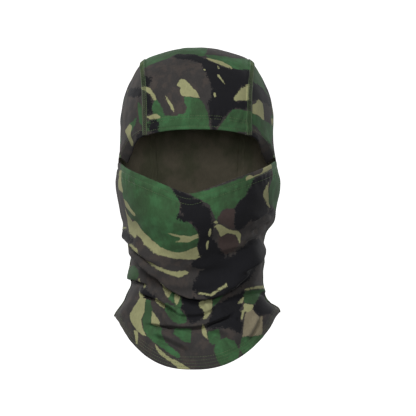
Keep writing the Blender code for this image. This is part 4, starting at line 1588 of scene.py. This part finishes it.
class BalaclavaStage(bpy.types.PropertyGroup):
    camera_distance: length_property("Camera distance", "From the camera to the middle of the head", 8.0)
    key_power: bpy.props.FloatProperty(
        name="Key light", description="Power of the light in front", default=46.0, min=0.0, unit="POWER"
    )
    background: bpy.props.FloatProperty(
        name="Background", description="Brightness of the pale surroundings", default=0.29, min=0.0
    )


# Operators

PULL_AXIS = np.array(next(j for j in frame["joints"] if j["name"] == "mask_pull_down")["pos_m"])


def bend_with_mask(piece, *nodes):
    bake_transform(piece)
    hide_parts(*nodes)


def stay_on_hood(piece, slot, *nodes):
    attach(piece, "hood")
    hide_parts(*nodes)


class BALACLAVA_OT_front_cloth(bpy.types.Operator):
    """Sews the front piece: the mask with its hem, the neck and the bib"""

    bl_idname = "balaclava.front_cloth"
    bl_label = "Front piece"

    def execute(self, context):
        piece = build_front_cloth()
        bend_with_mask(piece, "mask_panel", "mask_hem", "bib", "bottom_hem_front")
        return {"FINISHED"}


class BALACLAVA_OT_centre_cloth(bpy.types.Operator):
    """Sews the centre panel, from the brow hem over the crown to the back hem"""

    bl_idname = "balaclava.centre_cloth"
    bl_label = "Centre panel"

    def execute(self, context):
        piece = build_centre_cloth()
        stay_on_hood(piece, "camo_cloth", "centre_panel", "brow_hem", "bottom_hem_back")
        return {"FINISHED"}


class BALACLAVA_OT_side_cloths(bpy.types.Operator):
    """Sews the left and the right side panel"""

    bl_idname = "balaclava.side_cloths"
    bl_label = "Side panels"

    def execute(self, context):
        for side, placed, seed in (("left", LEFT_SIDE, 8), ("right", RIGHT_SIDE, 13)):
            piece = build_side_cloth(side, placed, seed)
            stay_on_hood(piece, "camo_cloth", f"side_panel_{side}")
        return {"FINISHED"}


class BALACLAVA_OT_facings(bpy.types.Operator):
    """Folds the two facings along the sides of the face opening"""

    bl_idname = "balaclava.facings"
    bl_label = "Opening facings"

    def execute(self, context):
        for side, placed, seed in (("left", LEFT_SIDE, 8), ("right", RIGHT_SIDE, 13)):
            piece = build_facing_cloth(side, placed, seed)
            stay_on_hood(piece, "hem_cloth", f"opening_facing_{side}")
        return {"FINISHED"}


class BALACLAVA_OT_tapes(bpy.types.Operator):
    """Lays the elastic tapes into the brow hem and the mask hem"""

    bl_idname = "balaclava.tapes"
    bl_label = "Elastic tapes"

    def execute(self, context):
        brow, mask = build_tapes()
        stay_on_hood(brow, "elastic_tape", "brow_elastic")
        bend_with_mask(mask, "mask_elastic")
        return {"FINISHED"}


class BALACLAVA_OT_seams(bpy.types.Operator):
    """Sews the flat seams along the crown and down the sides"""

    bl_idname = "balaclava.seams"
    bl_label = "Flat seams"

    def execute(self, context):
        for side in ("left", "right"):
            for seam, build in (("crown_seam", build_crown_seam), ("side_seam", build_side_seam)):
                cloth, thread = build(side)
                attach(cloth, "hood")
                stay_on_hood(thread, "sewing_thread", f"{seam}_{side}")
        return {"FINISHED"}


class BALACLAVA_OT_stitches(bpy.types.Operator):
    """Sews the rows of stitches on the hems and the facings, and the corner tacks"""

    bl_idname = "balaclava.stitches"
    bl_label = "Stitch rows"

    def execute(self, context):
        thread = "sewing_thread"
        stay_on_hood(build_brow_stitches(), thread, "brow_stitching_lower", "brow_stitching_upper")
        stay_on_hood(build_bottom_stitches(), thread, "bottom_stitching_lower", "bottom_stitching_upper")
        for side in ("left", "right"):
            stay_on_hood(build_facing_stitches(side), thread, f"facing_stitching_{side}")
            stay_on_hood(build_corner_tack(side), thread, f"corner_tack_{side}")
        rows = build_mask_stitches()
        bend_with_mask(rows, "mask_stitching_lower", "mask_stitching_upper")
        return {"FINISHED"}


class BALACLAVA_OT_stage(bpy.types.Operator):
    """Sets up the pale floor, the soft lights and the camera"""

    bl_idname = "balaclava.stage"
    bl_label = "Stage"

    def execute(self, context):
        stage = context.scene.balaclava_stage
        build_backdrop()
        build_lights(stage)
        build_camera(stage)
        return {"FINISHED"}


def build_backdrop():
    """A pale round floor that sweeps up into a wall on all sides."""
    floor = CAD_BOX[0].z - 0.10
    bend = [(radius, 0.0) for radius in (0.001, 2.0, 5.0, 10.0)]
    bend += [(10.0 + 3.0 * math.sin(a), 3.0 - 3.0 * math.cos(a)) for a in np.linspace(0, np.pi / 2, 9)[1:]]
    bend += [(13.0, 12.0)]
    round_about = np.linspace(0, 2 * np.pi, 65)[:-1]
    rows = np.array([[(r * math.cos(a), r * math.sin(a), floor + z) for a in round_about] for r, z in bend])
    backdrop = add_mesh("backdrop", rows, grid_faces(len(bend), len(round_about), closed=True))
    nodes = Nodes("pale_paper")
    grain = nodes.noise(nodes.place(), 3.0, 2.0)
    tint = nodes.mix(grain, (0.90, 0.90, 0.90, 1.0), (0.93, 0.93, 0.92, 1.0))
    backdrop.data.materials.append(nodes.finish(
        Base_Color=tint, Roughness=0.9, Emission_Color=(1.0, 1.0, 1.0, 1.0), Emission_Strength=0.95
    ))
    backdrop.data.shade_smooth()
    backdrop.visible_diffuse = False
    backdrop.visible_glossy = False
    backdrop.visible_shadow = False


def build_lights(stage):
    scene = bpy.context.scene
    world = bpy.data.worlds.new("Pale surroundings")
    world.use_nodes = True
    world.node_tree.nodes["Background"].inputs["Color"].default_value = (1.0, 1.0, 1.0, 1.0)
    world.node_tree.nodes["Background"].inputs["Strength"].default_value = stage.background
    scene.world = world
    for name, place, power, size in (
        ("key", (-0.75, -2.1, 1.35), stage.key_power, 0.8),
        ("fill", (0.10, -2.6, 0.22), stage.key_power * 0.34, 0.5),
        ("back left", (2.0, 2.1, 0.8), stage.key_power * 0.85, 1.2),
        ("back right", (-2.0, 2.1, 0.8), stage.key_power * 0.85, 1.2),
    ):
        light = bpy.data.lights.new(name, "AREA")
        light.energy = power
        light.size = size
        lamp = add_object(name, light)
        lamp.location = place
        aim = np.array([0, 0, -0.1]) - np.array(place)
        lamp.rotation_euler = Vector(aim).to_track_quat("-Z", "Y").to_euler()


VIEW_CENTRE = (0.0122, -0.0921)  # across and up: what the camera looks straight at
VIEW_WIDTH = 0.4618  # of the object that the picture spans at the front of the head


def build_camera(stage):
    camera = bpy.data.cameras.new("camera")
    camera.sensor_width = 36.0
    camera.lens = 36.0 * (stage.camera_distance - 0.06) / VIEW_WIDTH
    camera.clip_end = 50.0
    eye = add_object("camera", camera)
    eye.location = (VIEW_CENTRE[0], -stage.camera_distance, VIEW_CENTRE[1])
    eye.rotation_euler = (math.pi / 2, 0.0, 0.0)
    bpy.context.scene.camera = eye
    bpy.context.scene.view_settings.view_transform = "Standard"


class BALACLAVA_PT_panel(bpy.types.Panel):
    """Lists the steps and the settings of the balaclava"""

    bl_idname = "BALACLAVA_PT_panel"
    bl_label = "Balaclava"
    bl_space_type = "VIEW_3D"
    bl_region_type = "UI"
    bl_category = "Balaclava"

    def draw(self, context):
        for step in STEPS:
            self.layout.operator(step.bl_idname)
        for name in SETTINGS:
            group = getattr(context.scene, name)
            for setting in group.bl_rna.properties:
                if setting.identifier not in {"rna_type", "name"}:
                    self.layout.prop(group, setting.identifier)


SETTINGS = {
    "balaclava_cloth": BalaclavaCloth,
    "balaclava_colours": BalaclavaColours,
    "balaclava_thread": BalaclavaThread,
    "balaclava_stage": BalaclavaStage,
}
STEPS = (
    BALACLAVA_OT_centre_cloth,
    BALACLAVA_OT_side_cloths,
    BALACLAVA_OT_facings,
    BALACLAVA_OT_front_cloth,
    BALACLAVA_OT_tapes,
    BALACLAVA_OT_seams,
    BALACLAVA_OT_stitches,
    BALACLAVA_OT_stage,
)


def register():
    for group in SETTINGS.values():
        bpy.utils.register_class(group)
    for name, group in SETTINGS.items():
        setattr(bpy.types.Scene, name, bpy.props.PointerProperty(type=group))
    for step in STEPS:
        bpy.utils.register_class(step)
    bpy.utils.register_class(BALACLAVA_PT_panel)


def unregister():
    bpy.utils.unregister_class(BALACLAVA_PT_panel)
    for step in reversed(STEPS):
        bpy.utils.unregister_class(step)
    for name, group in reversed(SETTINGS.items()):
        delattr(bpy.types.Scene, name)
        bpy.utils.unregister_class(group)


def main():
    register()
    for step in STEPS:
        group, name = step.bl_idname.split(".")
        getattr(getattr(bpy.ops, group), name)()


if __name__ == "__main__":
    main()
